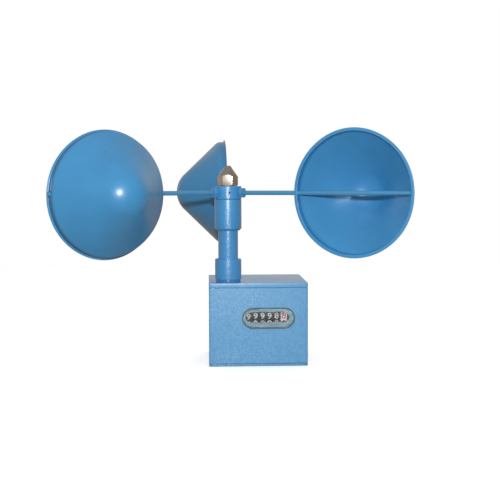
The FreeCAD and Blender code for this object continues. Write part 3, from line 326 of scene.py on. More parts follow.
class Surface:
    """A Principled material, with short calls that add pattern nodes to it."""

    def __init__(self, **sockets):
        self.material = bpy.data.materials.new("finish")
        self.material.use_nodes = True
        self.tree = self.material.node_tree
        self.shader = self.tree.nodes["Principled BSDF"]
        for socket, value in sockets.items():
            self.shader.inputs[socket.replace("_", " ")].default_value = value
        place = self.tree.nodes.new("ShaderNodeTexCoord")
        self.place = place.outputs["Object"]
        self.normal = None

    def link(self, source, target):
        """Connects another node's output to a socket, or sets a plain value on it."""
        if isinstance(source, bpy.types.NodeSocket):
            self.tree.links.new(source, target)
        else:
            target.default_value = source

    def node(self, kind, inputs, **settings):
        made = self.tree.nodes.new(kind)
        for key, value in settings.items():
            setattr(made, key, value)
        for key, value in inputs.items():
            self.link(value, made.inputs[key])
        return made

    def stretched(self, x, y, z):
        """The surface's coordinates, scaled along each axis: above 1, patches get shorter along it."""
        inputs = {"Vector": self.place, "Scale": (x, y, z)}
        return self.node("ShaderNodeMapping", inputs).outputs["Vector"]

    def noise(self, size, detail=2.0, rough=0.5, place=None):
        """Soft noise whose patches are about size metres across."""
        inputs = {"Vector": place or self.place, "Scale": 1 / size}
        inputs.update({"Detail": detail, "Roughness": rough})
        return self.node("ShaderNodeTexNoise", inputs).outputs["Fac"]

    def cells(self, size, output):
        """Cells about size metres across: Distance from a cell's middle, or a random Color per cell."""
        inputs = {"Vector": self.place, "Scale": 1 / size}
        return self.node("ShaderNodeTexVoronoi", inputs, feature="F1").outputs[output]

    def ramp(self, factor, *stops):
        """A colour ramp through (position, colour) stops."""
        made = self.node("ShaderNodeValToRGB", {"Fac": factor})
        set_stops(made, stops)
        return made.outputs["Color"]

    def level(self, factor, low, high, start=0.3, end=0.7):
        """Carries a factor from start..end to low..high."""
        inputs = {"Value": factor, "From Min": start, "From Max": end}
        inputs.update({"To Min": low, "To Max": high})
        return self.node("ShaderNodeMapRange", inputs).outputs["Result"]

    def mix(self, factor, first, second):
        """A colour between the first and the second, which are sockets or colours."""
        made = self.tree.nodes.new("ShaderNodeMix")
        made.data_type = "RGBA"
        for value, socket in ((factor, FACTOR), (first, FIRST_COLOUR), (second, SECOND_COLOUR)):
            if isinstance(value, tuple):
                value = (*value, 1)
            self.link(value, made.inputs[socket])
        return made.outputs[MIXED_COLOUR]

    def product(self, first, second):
        return self.node("ShaderNodeMath", {0: first, 1: second}, operation="MULTIPLY").outputs[0]

    def bump(self, height, depth):
        """Adds a height pattern, depth metres deep, on top of the bumps so far."""
        inputs = {"Height": height, "Distance": depth, "Strength": 1.0}
        if self.normal is not None:
            inputs["Normal"] = self.normal
        self.normal = self.node("ShaderNodeBump", inputs).outputs["Normal"]

    def finish(self, colour, roughness=None):
        """Connects what was made to the shader, and returns the material."""
        self.link(colour, self.shader.inputs["Base Color"])
        if roughness is not None:
            self.link(roughness, self.shader.inputs["Roughness"])
        if self.normal is not None:
            self.link(self.normal, self.shader.inputs["Normal"])
        return self.material


def darker(colour, share):
    return tuple(part * share for part in colour)


CHIP_RADIUS = 0.9 * MM
BARE_METAL = (0.07, 0.08, 0.09)


def enamel(deep, bright, rough, shine=0.55, coat=(0.45, 0.2), peel=(2.2 * MM, 0.03 * MM), chip_at=None,
           painted_shade=0.0):
    """Sprayed blue enamel: soft drifts of tone, orange peel, perhaps one chip and painted shade in the corners.
    The coat is (weight, roughness) and the orange peel (patch size, depth)."""
    paint = Surface(Specular_IOR_Level=shine, Coat_Weight=coat[0], Coat_Roughness=coat[1])
    drift = paint.noise(35 * MM, detail=3)
    colour = paint.mix(paint.level(drift, 0.0, 1.0), deep, bright)
    grain = paint.noise(1.2 * MM, detail=2)
    colour = paint.mix(paint.level(grain, 0.0, 0.16), colour, darker(deep, 0.6))
    if chip_at:
        apart = paint.node("ShaderNodeVectorMath", {0: paint.place, 1: chip_at}, operation="DISTANCE")
        ragged = paint.level(paint.noise(0.7 * MM), 0.6, 1.4)
        away = paint.product(apart.outputs["Value"], ragged)
        chip = paint.level(away, 1.0, 0.0, start=CHIP_RADIUS * 0.6, end=CHIP_RADIUS)
        colour = paint.mix(chip, colour, BARE_METAL)
    # Painted shade: the marked band behind the lip is darkened towards near-black blue, standing for the shade
    # there.
    if painted_shade:
        shade_mask = paint.node("ShaderNodeAttribute", {}, attribute_name="painted_shade").outputs["Fac"]
        patchy = paint.level(paint.noise(6 * MM, detail=3), painted_shade * 0.75, painted_shade)
        colour = paint.mix(paint.product(shade_mask, patchy), colour, darker(deep, 0.2))
    peel_size, peel_depth = peel
    paint.bump(paint.noise(peel_size, detail=1), peel_depth)
    paint.bump(paint.noise(14 * MM, detail=2), 0.22 * MM)
    return paint.finish(colour, paint.level(drift, rough + 0.05, rough - 0.03))


# The pale flecks in the hammer finish's colour are painted glints of the light; they grow fewer to the right.
GLINT_SIZE = 2.1 * MM
GLINT_COLOUR = (0.36, 0.62, 0.92)
GLINTS_FADE = 50 * MM


def hammered(deep, bright, depth):
    """Hammer-finish paint: soft mottling, a shallow ripple and small pale flecks that are painted glints of the
    light, which thin out to the right over the fade length set above."""
    paint = Surface(Specular_IOR_Level=0.5, Coat_Weight=0.5, Coat_Roughness=0.25)
    ripple = paint.noise(2.4 * MM, detail=1)
    mottle = paint.noise(2.8 * MM, detail=3, rough=0.7)
    crowd = paint.noise(30 * MM, detail=2)
    colour = paint.mix(paint.level(mottle, 0.0, 1.0, start=0.35, end=0.65), deep, bright)
    glint = paint.cells(GLINT_SIZE, "Distance")
    pick = paint.cells(GLINT_SIZE, "Color")
    spot = paint.level(glint, 1.0, 0.0, start=0.15, end=0.6)
    kept = paint.level(pick, 0.0, 1.0, start=0.25, end=0.95)
    side = paint.node("ShaderNodeSeparateXYZ", {0: paint.place}).outputs["X"]
    crowded = paint.level(crowd, 0.3, 0.9, start=0.35, end=0.65)
    glint_density = paint.product(crowded, paint.level(side, 1.0, 0.4, start=0.0, end=GLINTS_FADE))
    # Painted glints: the pale flecks are mixed into the colour.
    colour = paint.mix(paint.product(paint.product(spot, kept), glint_density), colour, GLINT_COLOUR)
    paint.bump(ripple, depth)
    return paint.finish(colour, paint.level(mottle, 0.34, 0.44))


def machined(colour, rough, tint=0.8):
    """Turned or rolled metal: fine grain and soft stains."""
    metal = Surface(Metallic=1.0)
    grain = metal.noise(0.4 * MM, detail=4)
    stains = metal.noise(6 * MM, detail=3)
    tone = metal.mix(metal.level(stains, 0.0, 0.6), colour, darker(colour, tint))
    tone = metal.mix(metal.level(grain, 0.0, 0.3), tone, darker(colour, 0.7))
    metal.bump(grain, 0.006 * MM)
    return metal.finish(tone, metal.level(stains, rough - 0.06, rough + 0.1))


def zinc_plate():
    """Zinc plating with its faint crystal spangle."""
    metal = Surface(Metallic=1.0)
    spangle = metal.cells(3 * MM, "Color")
    grey = metal.node("ShaderNodeRGBToBW", {"Color": spangle}).outputs[0]
    share = metal.level(grey, 0.0, 1.0, start=0.0, end=1.0)
    tone = metal.mix(share, (0.52, 0.53, 0.52), (0.70, 0.71, 0.70))
    haze = metal.noise(2 * MM, detail=3)
    metal.bump(haze, 0.008 * MM)
    return metal.finish(tone, metal.level(grey, 0.30, 0.44, start=0.0, end=1.0))


def moulded(colour, rough):
    """Moulded plastic: fine grain and slight handling marks."""
    plastic = Surface(Specular_IOR_Level=0.45)
    grain = plastic.noise(0.8 * MM, detail=3)
    marks = plastic.noise(4 * MM, detail=4, rough=0.7)
    tone = plastic.mix(plastic.level(marks, 0.0, 0.25), colour, darker(colour, 0.72))
    plastic.bump(grain, 0.01 * MM)
    return plastic.finish(tone, plastic.level(marks, rough, rough + 0.12))


def rubber(colour):
    """Dull rubber or sealant with pale dust on it."""
    gum = Surface(Specular_IOR_Level=0.35)
    dust = gum.noise(3 * MM, detail=5, rough=0.65)
    tone = gum.mix(gum.level(dust, 0.0, 0.5), colour, (0.16, 0.19, 0.19))
    gum.bump(gum.noise(0.7 * MM, detail=3), 0.03 * MM)
    return gum.finish(tone, gum.level(dust, 0.5, 0.75))


def nickel():
    """Polished nickel plate with a warm cast and fine polishing lines."""
    metal = Surface(Metallic=1.0)
    lines = metal.noise(0.6 * MM, detail=4, place=metal.stretched(1, 1, 6))
    cloud = metal.noise(8 * MM, detail=3)
    tone = metal.mix(metal.level(cloud, 0.0, 1.0), (0.48, 0.44, 0.395), (0.40, 0.36, 0.32))
    return metal.finish(tone, metal.level(lines, 0.15, 0.17))


def window_glass():
    """Clear glass with a faint green cast and a film of dust."""
    glass = Surface(Transmission_Weight=1.0, IOR=1.5)
    film = glass.noise(6 * MM, detail=4, rough=0.6)
    tone = glass.mix(glass.level(film, 0.0, 1.0), (0.90, 0.96, 0.94), (0.97, 0.99, 0.98))
    glass.bump(glass.noise(12 * MM, detail=1), 0.02 * MM)
    return glass.finish(tone, glass.level(film, 0.0, 0.12, start=0.45, end=0.75))


def face_plate():
    """Grey-green enamel of the counter's face, with cloudy drying marks."""
    paint = Surface(Specular_IOR_Level=0.5, Coat_Weight=0.3, Coat_Roughness=0.2)
    cloud = paint.noise(5 * MM, detail=4, rough=0.6, place=paint.stretched(0.4, 1, 1.5))
    dark, middle, pale = (0.13, 0.25, 0.32), (0.18, 0.32, 0.43), (0.26, 0.40, 0.50)
    colour = paint.ramp(cloud, (0.3, dark), (0.5, middle), (0.68, pale))
    paint.bump(paint.noise(0.9 * MM, detail=3), 0.02 * MM)
    return paint.finish(colour, paint.level(cloud, 0.3, 0.5))


def ink(colour):
    """Printed figures, slightly uneven."""
    print_ink = Surface(Specular_IOR_Level=0.4)
    wear = print_ink.noise(0.9 * MM, detail=4, rough=0.7)
    tone = print_ink.mix(print_ink.level(wear, 0.0, 0.35), colour, darker(colour, 0.65))
    return print_ink.finish(tone, print_ink.level(wear, 0.4, 0.6))


# Where the left cup's paint is chipped.
CUP_CHIP = (-0.1184, -0.1019, 0.2249)
# Finishes by name: most names are the CAD's material slots.
FINISHES = {
    "cup_paint": enamel((0.035, 0.228, 0.478), (0.043, 0.264, 0.540), 0.37, shine=0.6,
                        coat=(0.45, 0.24), chip_at=CUP_CHIP, painted_shade=0.6),
    "arm_paint": enamel((0.045, 0.240, 0.460), (0.060, 0.275, 0.510), 0.30),
    "column_paint": enamel((0.043, 0.243, 0.525), (0.058, 0.285, 0.595), 0.33,
                           coat=(0.3, 0.28), peel=(1.7 * MM, 0.3 * MM)),
    "ring_paint": enamel((0.030, 0.170, 0.390), (0.042, 0.205, 0.450), 0.24),
    "hammer_paint": hammered((0.080, 0.295, 0.560), (0.105, 0.340, 0.620), 0.08 * MM),
    # Painted shade: the base's paint is darker than the case's, standing for the shade along the bottom of the
    # box.
    "base_paint": hammered((0.070, 0.250, 0.450), (0.095, 0.290, 0.500), 0.06 * MM),
    "nickel": nickel(),
    "steel": machined((0.60, 0.60, 0.61), 0.30),
    "zinc": zinc_plate(),
    "brass": machined((0.78, 0.58, 0.27), 0.28, tint=0.7),
    "rubber": rubber((0.035, 0.050, 0.055)),
    "seal": rubber((0.070, 0.150, 0.185)),
    "painted_screw": moulded((0.025, 0.100, 0.210), 0.5),
    "glass": window_glass(),
    "counter_face": face_plate(),
    "drum_black": moulded((0.030, 0.028, 0.030), 0.38),
    "drum_white": moulded((0.92, 0.87, 0.88), 0.40),
    "nylon": moulded((0.76, 0.73, 0.64), 0.45),
    "white_ink": ink((0.66, 0.64, 0.70)),
    "red_ink": ink((0.72, 0.13, 0.17)),
}
for finish_name, material in FINISHES.items():
    material.name = finish_name


def dress(piece, finish, body, slot, *nodes):
    """Gives a finished piece its material and its body, and hides the CAD nodes that it stands for."""
    piece.data.materials.clear()
    piece.data.materials.append(FINISHES[finish])
    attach(piece, body)
    if nodes:
        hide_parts(*nodes)
    return piece


# ---------------------------------------------------------------- cups and arms

CUP_WALL = 1.0 * MM
LIP_WIDTH = 2.3 * MM
LIP_THICKNESS = 1.0 * MM
BAND_LENGTH = 8.5 * MM
NOSE_RADIUS = 29.5 * MM
KINK_RADIUS = {"rear": 9.0 * MM, "left": 5.0 * MM, "right": 5.0 * MM}
# How strongly each cup's band behind the lip is darkened with painted shade.
CUP_PAINTED_SHADE = {"rear": 0.35, "left": 1.0, "right": 0.8}
EDGE_RADIUS = 0.45 * MM
BEAD = 1.1 * MM
BEAD_SUNK = 0.12 * MM
BEAD_UNEVEN = 0.22 * MM
LUMPS_PER_METRE = 900
LONGEST_FACE = 1.6 * MM
NOSE_STEPS = 20
# How far each cup's rim is out of round, in millimetres: outward along the arm first, then every 45
# degrees by way of up.
OUT_OF_ROUND = {
    "rear": [0.2, -0.2, -0.5, 0.1, 0.3, 0.6, 0.4, -0.1],
    "left": [-1.1, -1.8, -0.5, -0.7, -1.4, 0.0, 2.3, 1.0],
    "right": [0.4, 0.9, 1.9, 0.2, -0.8, 0.4, 2.3, 1.8],
}
# Play of the rod's holes in a cup, as a share of its radius: near the hub, and at the far wall.
HOLE_FIT, FAR_HOLE_FIT = 1.02, 1.2
FAR_WALL = 8 * MM


def cup_surface(lip_radius, depth, inset):
    """A cup's surface, inset from the outside, as (forward, radius) points: the kink where the band
    meets the cone, and the nose's arc. The cone runs straight from one to the other."""
    band = lip_radius - LIP_WIDTH
    centre = NOSE_RADIUS - depth
    reach = math.hypot(-BAND_LENGTH - centre, band)
    lean = math.atan2(band, -BAND_LENGTH - centre) + math.acos(NOSE_RADIUS / reach)
    nose = NOSE_RADIUS - inset
    kink = centre + (nose - (band - inset) * math.sin(lean)) / math.cos(lean)
    arc = []
    for k in range(NOSE_STEPS + 1):
        angle = lean + (math.pi - lean) * k / NOSE_STEPS
        radius = nose * math.sin(angle) if k < NOSE_STEPS else 0.0
        arc.append((centre + nose * math.cos(angle), radius))
    return (kink, band - inset), arc


def cup_profile(lip_radius, depth, kink_radius):
    """Closed section of the cup's sheet: rolled lip, short band, cone and round nose."""
    kink, arc = cup_surface(lip_radius, depth, 0.0)
    inner_kink, inner_arc = cup_surface(lip_radius, depth, CUP_WALL)
    band = kink[1]
    corners = [
        (0.0, inner_kink[1], EDGE_RADIUS),
        (0.0, lip_radius, EDGE_RADIUS),
        (-LIP_THICKNESS, lip_radius, EDGE_RADIUS),
        (-LIP_THICKNESS, band, EDGE_RADIUS * 2),
        (*kink, kink_radius),
        (*arc[0], 0),
    ]
    start = (inner_kink[0] / 2, inner_kink[1], 0)
    section = rounded([start, *corners])
    section += [Vector(point) for point in (*arc[1:], *reversed(inner_arc))]
    section += rounded([(*inner_arc[0], 0), (*inner_kink, kink_radius), start])[1:-1]
    return [(point.y, point.x) for point in finer(section, LONGEST_FACE)]


def bead_ring(name, matrix, rod_radius, seed):
    """A small uneven fillet of braze around the rod, on the cup's band."""
    hollow = BEAD * 0.35
    profile = rounded([
        (rod_radius, BEAD, 0),
        (rod_radius + hollow, hollow, BEAD * 0.8),
        (rod_radius + BEAD, -BEAD_SUNK, 0),
        (rod_radius, -BEAD_SUNK, 0),
    ])
    ring = lathe(name, profile, segments=48)
    for vertex in ring.data.vertices:
        outward = Vector((vertex.co.x, vertex.co.y, 0))
        uneven = noise.noise(vertex.co * LUMPS_PER_METRE + Vector((seed, 0, 0))) * BEAD_UNEVEN
        if outward.length > rod_radius + 0.1 * MM:
            vertex.co += outward.normalized() * uneven
    ring.data.transform(matrix)
    return ring


def swell(angle, offsets):
    """Offset at an angle, on a smooth closed curve through offsets at equal steps round the rim
    (a Catmull-Rom curve)."""
    count = len(offsets)
    place = angle / (2 * math.pi) * count
    step = math.floor(place)
    t = place - step
    a, b, c, d = (offsets[(step + k) % count] for k in (-1, 0, 1, 2))
    return b + t / 2 * (c - a + t * (2 * a - 5 * b + 4 * c - d + t * (3 * (b - c) + d - a)))


def push_out_of_round(piece, offsets, centre, along, ahead, depth):
    """Dents a cup's round shape: most at the rim and nothing at the nose."""
    for vertex in piece.data.vertices:
        place = vertex.co - centre
        out, up, forward = place.dot(along), place.dot(UP), place.dot(ahead)
        share = min(max(1 + forward / depth, 0), 1)
        across = along * out + UP * up
        if across.length > MM:
            vertex.co += across.normalized() * swell(math.atan2(up, out), offsets) * MM * share


def mark_grime(piece, amount, centre, ahead, band):
    """Marks the outside of a cup's band, behind the lip, where the paint is darkened as painted shade."""
    painted_shade = piece.data.attributes.new("painted_shade", "FLOAT", "POINT")
    for vertex in piece.data.vertices:
        place = vertex.co - centre
        forward = place.dot(ahead)
        radius = (place - ahead * forward).length
        behind_lip = -BAND_LENGTH + MM < forward < -LIP_THICKNESS * 0.8
        if behind_lip and abs(radius - band) < CUP_WALL / 2:
            painted_shade.data[vertex.index].value = amount


def make_cup(name):
    """A cup of sheet metal, with its rod's two holes, braze, dents and painted shade behind the lip."""
    along = arm_direction(name)
    ahead = along.cross(UP)
    node = "cup_" + name
    near, far = span(node, along)
    nose_tip, mouth = span(node, ahead)
    level = (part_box(node)[0].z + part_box(node)[1].z) / 2
    lip_radius = (far - near) / 2
    centre = along * (near + far) / 2 + ahead * mouth + UP * level
    depth = mouth - nose_tip
    section = cup_profile(lip_radius, depth, KINK_RADIUS[name])
    cup = lathe(node + "_shell", section, basis(centre, ahead, UP), segments=180)
    rod_level, rod_radius = rod_of(name)
    hole_start = basis(along * (near - BEAD) + UP * rod_level, along, UP)
    fit, far_fit = rod_radius * HOLE_FIT, rod_radius * FAR_HOLE_FIT
    across = far - near + 2 * BEAD
    step = across - FAR_WALL
    profile = [(0, 0), (fit, 0), (fit, step), (far_fit, step), (far_fit, across), (0, across)]
    cut_away(cup, lathe("hole", profile, hole_start, segments=48, closed=False))
    band = lip_radius - LIP_WIDTH
    beads = []
    # Braze outside and inside the wall near the hub, and inside the far wall.
    for n, (side, wall) in enumerate(((-1, 0.0), (-1, CUP_WALL), (1, CUP_WALL))):
        outward = along * side if wall == 0 else along * -side
        place = along * ((near + far) / 2 + side * (band - wall)) + UP * rod_level
        beads.append(bead_ring("bead", basis(place, outward, UP), rod_radius, 7.0 * n + lip_radius))
    whole = joined(node + "_piece", cup, *beads)
    # Painted shade on the band behind the lip.
    mark_grime(whole, CUP_PAINTED_SHADE[name], centre, ahead, band)
    push_out_of_round(whole, OUT_OF_ROUND[name], centre, along, ahead, depth)
    return dress(whole, "cup_paint", "rotor", "cup_paint", node)


def make_arm(name):
    """An arm's rod, with its ends rounded off."""
    along = arm_direction(name)
    node = "arm_" + name
    start, end = span(node, along)
    level, radius = rod_of(name)
    length = end - start
    corners = [(0, 0, 0), (radius, 0, 0.5 * MM), (radius, length, 0.7 * MM), (0, length, 0)]
    place = basis(along * start + UP * level, along, UP)
    rod = lathe(node + "_rod", rounded(corners), place, segments=64, closed=False)
    return dress(rod, "arm_paint", "rotor", "arm_paint", node)


# ---------------------------------------------------------------- hub, nuts and column

LOCK_NUT_FLATS = 10.0 * MM
CAP_NUT_FLATS = 19.0 * MM
CAP_NUT_TURN = math.radians(24)
CAP_NUT_SHOULDER = 9.9 * MM
CAP_NUT_TIP = 2.9 * MM
GRUB_AZIMUTH = math.radians(275)
GRUB_HOLE = 1.25 * MM
NUT_CHAMFER = math.tan(math.radians(30))
NUT_ROUNDING = 0.14 * MM
TUBE_WALL = 2.6 * MM
SEAM = 0.2 * MM
HOUSING_CHAMFER = 2.1 * MM
NECK_RADIUS, NECK_BORE = 8.6 * MM, 7.5 * MM
STEM_RADIUS, STEM_BORE = 10.4 * MM, 8.2 * MM


def make_lock_nuts():
    """The hexagonal nuts that lock the arms against the hub, chamfered on both faces."""
    nuts = []
    for name in CUP_NAMES:
        along = arm_direction(name)
        start = radius_of("rotor_hub")
        length = span("arm_lock_nuts", along)[1] - start
        level, bore = rod_of(name)
        face = LOCK_NUT_FLATS * 0.47

        def section(limit):
            drop = (limit - face) * NUT_CHAMFER
            return [
                (bore, 0, 0),
                (face, 0, 0),
                (limit, drop, NUT_ROUNDING),
                (limit, length - drop, NUT_ROUNDING),
                (face, length, 0),
                (bore, length, 0),
            ]

        place = basis(along * start + UP * level, along, UP)
        nuts.append(hexagon_body("nut", LOCK_NUT_FLATS, 0.4 * MM, section, place))
    whole = joined("arm_lock_nuts_piece", *nuts)
    return dress(whole, "column_paint", "rotor", "column_paint", "arm_lock_nuts")


def make_hub():
    """The hub, with the hole of its grub screw and a recess below that clears the housing's neck."""
    low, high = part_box("rotor_hub")
    radius = radius_of("rotor_hub")
    bore, recess, recess_top = 5.2 * MM, 9.5 * MM, low.z + 2.6 * MM
    corners = [
        (bore, recess_top, 0),
        (recess, recess_top, 0),
        (recess, low.z, 0),
        (radius, low.z, 0.6 * MM),
        (radius, high.z, 0.9 * MM),
        (bore, high.z, 0),
    ]
    hub = lathe("hub", finer(rounded(corners, closed=True), MM), segments=192)
    outward = Vector((math.cos(GRUB_AZIMUTH), math.sin(GRUB_AZIMUTH), 0))
    level = joint_point("rotor_spin").z
    place = basis(outward * bore + UP * level, outward, UP)
    mouth = radius + MM - bore
    tapped = [(0, 0), (GRUB_HOLE, 0), (GRUB_HOLE, mouth), (0, mouth)]
    cut_away(hub, lathe("hole", tapped, place, segments=40, closed=False))
    hub.name = "rotor_hub_piece"
    return dress(hub, "column_paint", "rotor", "column_paint", "rotor_hub")


def make_cap_nut():
    """A hexagonal nut with a cone that meets its flats in arcs and ends in a small flat."""
    low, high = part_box("cap_nut")
    tall = high.z - low.z
    corner = CAP_NUT_FLATS / math.sqrt(3)
    bore, face, pinhole = 4.0 * MM, CAP_NUT_FLATS * 0.49, 0.01 * MM
    steepness = (tall - CAP_NUT_SHOULDER) / (corner - CAP_NUT_TIP)

    def section(limit):
        return [
            (bore, 0, 0),
            (face, 0, 0),
            (limit, (limit - face) * NUT_CHAMFER, NUT_ROUNDING),
            (limit, CAP_NUT_SHOULDER + (corner - limit) * steepness, 0.3 * MM),
            (CAP_NUT_TIP, tall, 0.35 * MM),
            (pinhole, tall, 0),
        ]

    turn = Matrix.Rotation(CAP_NUT_TURN, 3, "Z")
    place = basis(Vector((0, 0, low.z)), UP, turn @ RIGHT)
    nut = hexagon_body("cap_nut_piece", CAP_NUT_FLATS, 0.3 * MM, section, place)
    return dress(nut, "nickel", "rotor", "nickel", "cap_nut")


def turned(node, corners, finish, segments=160):
    """A round piece about the spindle's axis that stands for a CAD node."""
    piece = lathe(node + "_piece", rounded(corners, closed=True), segments=segments)
    return dress(piece, finish, NODE_BODY[node], NODE_SLOT[node], node)


def make_column():
    """The tube, the bearing housing on it, the collar under it and the collar's gasket."""
    tube = radius_of("column_tube")
    tube_low, tube_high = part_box("column_tube")
    bore = tube - TUBE_WALL
    corners = [
        (bore, tube_low.z, 0),
        (tube, tube_low.z, 0.3 * MM),
        (tube, tube_high.z, 0.3 * MM),
        (bore, tube_high.z, 0),
    ]
    turned("column_tube", corners, "column_paint")
    low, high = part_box("bearing_housing")
    radius = radius_of("bearing_housing")
    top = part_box("rotor_hub")[0].z - SEAM
    corners = [
        (tube, low.z, 0),
        (radius - HOUSING_CHAMFER, low.z, 0.3 * MM),
        (radius, low.z + HOUSING_CHAMFER, 0.5 * MM),
        (radius, top, 0.5 * MM),
        (NECK_RADIUS, top, 0),
        (NECK_RADIUS, high.z, 0.2 * MM),
        (NECK_BORE, high.z, 0),
        (NECK_BORE, tube_high.z, 0),
        (tube, tube_high.z, 0),
    ]
    turned("bearing_housing", corners, "column_paint", segments=192)
    low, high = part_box("column_collar")
    radius = radius_of("column_collar")
    ring_low, ring_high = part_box("collar_gasket")
    corners = [
        (tube, tube_low.z, 0),
        (STEM_BORE, tube_low.z, 0),
        (STEM_BORE, low.z, 0),
        (STEM_RADIUS, low.z, 0.3 * MM),
        (STEM_RADIUS, ring_high.z, 0),
        (radius, ring_high.z, 0.5 * MM),
        (radius, high.z, 0.9 * MM),
        (tube, high.z, 0),
    ]
    turned("column_collar", corners, "column_paint", segments=192)
    ring_radius = radius_of("collar_gasket")
    corners = [
        (STEM_RADIUS, ring_low.z, 0),
        (ring_radius, ring_low.z, 0.5 * MM),
        (ring_radius, ring_high.z, 0.8 * MM),
        (STEM_RADIUS, ring_high.z, 0),
    ]
    turned("collar_gasket", corners, "ring_paint")


# ---------------------------------------------------------------- box

SHEET = 1.5 * MM
CORNER = 2.0 * MM
CASE_EDGE = 0.15 * MM
TOP_EDGE, BOTTOM_EDGE = 0.4 * MM, 0.25 * MM
EDGE_STEPS = 5
COLUMN_HOLE = 10.6 * MM
WINDOW_RIM = 1.25 * MM


def box_outline(node, inset):
    """A node's rectangle seen from above, drawn in by inset, about its own centre."""
    low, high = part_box(node)
    size = high - low
    return rectangle(size.x - 2 * inset, size.y - 2 * inset, max(CORNER - inset, 0.2 * MM))


def box_centre(node):
    low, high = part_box(node)
    return Vector(((low.x + high.x) / 2, (low.y + high.y) / 2, 0))


def plate_layers(node):
    """Layers of a plate whose top and bottom edges are rounded."""
    low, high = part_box(node)
    layers = []
    for k in range(EDGE_STEPS + 1):
        angle = math.pi / 2 * k / EDGE_STEPS
        level = low.z + BOTTOM_EDGE * (1 - math.cos(angle))
        layers.append((level, box_outline(node, BOTTOM_EDGE * (1 - math.sin(angle)))))
    for k in range(EDGE_STEPS + 1):
        angle = math.pi / 2 * k / EDGE_STEPS
        level = high.z - TOP_EDGE * (1 - math.sin(angle))
        layers.append((level, box_outline(node, TOP_EDGE * (1 - math.cos(angle)))))
    return layers


def make_case():
    """The folded sheet-metal walls, open above and below, with the window cut in the front."""
    node = "case_shell"
    low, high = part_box(node)
    full, drawn_in = box_outline(node, 0), box_outline(node, CASE_EDGE)
    sides = [(low.z + CASE_EDGE, full), (high.z - CASE_EDGE, full)]
    centre = Matrix.Translation(box_centre(node))
    walls = stack(node + "_piece", [(low.z, drawn_in), *sides, (high.z, drawn_in)], centre)
    inner = box_outline(node, SHEET)
    hollow = stack("hollow", [(low.z - MM, inner), (high.z + MM, inner)], centre)
    gasket_low, gasket_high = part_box("window_gasket")
    middle = (gasket_low + gasket_high) / 2
    width, height = window_size()
    slot = obround(width, height)
    ahead, through = 5 * MM, 12 * MM
    place = basis(Vector((middle.x, low.y - ahead, middle.z)), -FRONT, RIGHT)
    hole = stack("hole", [(0, slot), (through, slot)], place)
    cut_away(walls, hollow, hole)
    return dress(walls, "hammer_paint", "housing", "hammer_paint", node)


def window_size():
    """Width and height of the hole in the case that the gasket lines."""
    low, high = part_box("window_glass")
    return high.x - low.x + 2 * WINDOW_RIM, high.z - low.z + 2 * WINDOW_RIM


def make_top_plate():
    """The thick top plate, with the hole for the collar's stem."""
    node = "top_plate"
    top = stack(node + "_piece", plate_layers(node), Matrix.Translation(box_centre(node)))
    low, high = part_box(node)
    below, above = low.z - MM, high.z + MM
    profile = [(0, below), (COLUMN_HOLE, below), (COLUMN_HOLE, above), (0, above)]
    cut_away(top, lathe("hole", profile, segments=64, closed=False))
    dress(top, "hammer_paint", "housing", "hammer_paint", node)


# ---------------------------------------------------------------- window and counter


def ring_along(name, outline, section, place):
    """Sweeps a small section, (outward, forward) points, round a flat closed outline."""
    vertices = []
    count = len(outline)
    for k, point in enumerate(outline):
        before, after = outline[k - 1], outline[(k + 1) % count]
        direction = (after - before).normalized()
        outward = Vector((direction.y, -direction.x))
        for out, forward in section:
            vertices.append(Vector((point.x + outward.x * out, point.y + outward.y * out, forward)))
    return mesh_object(name, vertices, ring_faces(count, len(section)), place)


SEAL_THROAT, SEAL_LIP = -1.15 * MM, 0.25 * MM
SEAL_CLEARS = 0.03 * MM
SEAL_OVERLAP = 0.02 * MM
SMEAR, BOTTOM_SMEAR = 0.1 * MM, 0.3 * MM
SMEARS_PER_METRE = 180
PANE_BEVEL = 0.35 * MM


def make_window():
    """The seal round the window, uneven and smeared along its bottom, and the bevelled pane in it."""
    low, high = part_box("window_gasket")
    middle = (low + high) / 2
    glass_low, glass_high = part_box("window_glass")
    face = Vector((middle.x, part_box("case_shell")[0].y, middle.z))
    outward = basis(face, FRONT, -RIGHT)
    width, height = window_size()
    proud = face.y - low.y
    behind = face.y - high.y
    corners = [
        (SEAL_THROAT, proud * 0.1, 0.2 * MM),
        (SEAL_THROAT * 0.4, proud * 0.8, 0.3 * MM),
        (SEAL_LIP, SEAL_OVERLAP, 0),
        (-SEAL_CLEARS, SEAL_OVERLAP, 0),
        (-SEAL_CLEARS, behind, 0),
        (SEAL_THROAT, behind, 0),
    ]
    outline = obround(width, height, pieces=40)
    seal = ring_along("window_gasket_piece", outline, rounded(corners, closed=True), outward)
    for vertex in seal.data.vertices:
        smear = BOTTOM_SMEAR if vertex.co.z < middle.z - height * 0.4 else SMEAR
        vertex.co += Vector((1, 0, 1)) * smear * noise.noise(vertex.co * SMEARS_PER_METRE)
    dress(seal, "seal", "housing", "rubber", "window_gasket")
    thick = glass_high.y - glass_low.y
    pane_width, pane_height = glass_high.x - glass_low.x, glass_high.z - glass_low.z
    full = obround(pane_width, pane_height, pieces=32)
    edge = obround(pane_width - 2 * PANE_BEVEL, pane_height - 2 * PANE_BEVEL, pieces=32)
    layers = [(0, edge), (PANE_BEVEL, full), (thick - PANE_BEVEL, full), (thick, edge)]
    place = basis(Vector((middle.x, glass_high.y, middle.z)), FRONT, -RIGHT)
    pane = stack("window_glass_piece", layers, place)
    dress(pane, "glass", "housing", "glass", "window_glass")


DIGIT_HEIGHT = 6.7 * MM
DIGIT_LIFT = 0.05 * MM
DIGIT_STRETCH = 1.12
DIGIT_BOLD = 0.03
DIGIT_SLICES = 16
DIGIT_STEP = math.radians(36)
DIGIT_MERGE = 0.01 * MM
# The figure in front on each drum, left to right, and how far it stands turned upward.
READING = [9, 9, 9, 9, 8, 8]
DRUM_LAG = [math.radians(a) for a in (1, 5, 5, 5, 6, 6)]


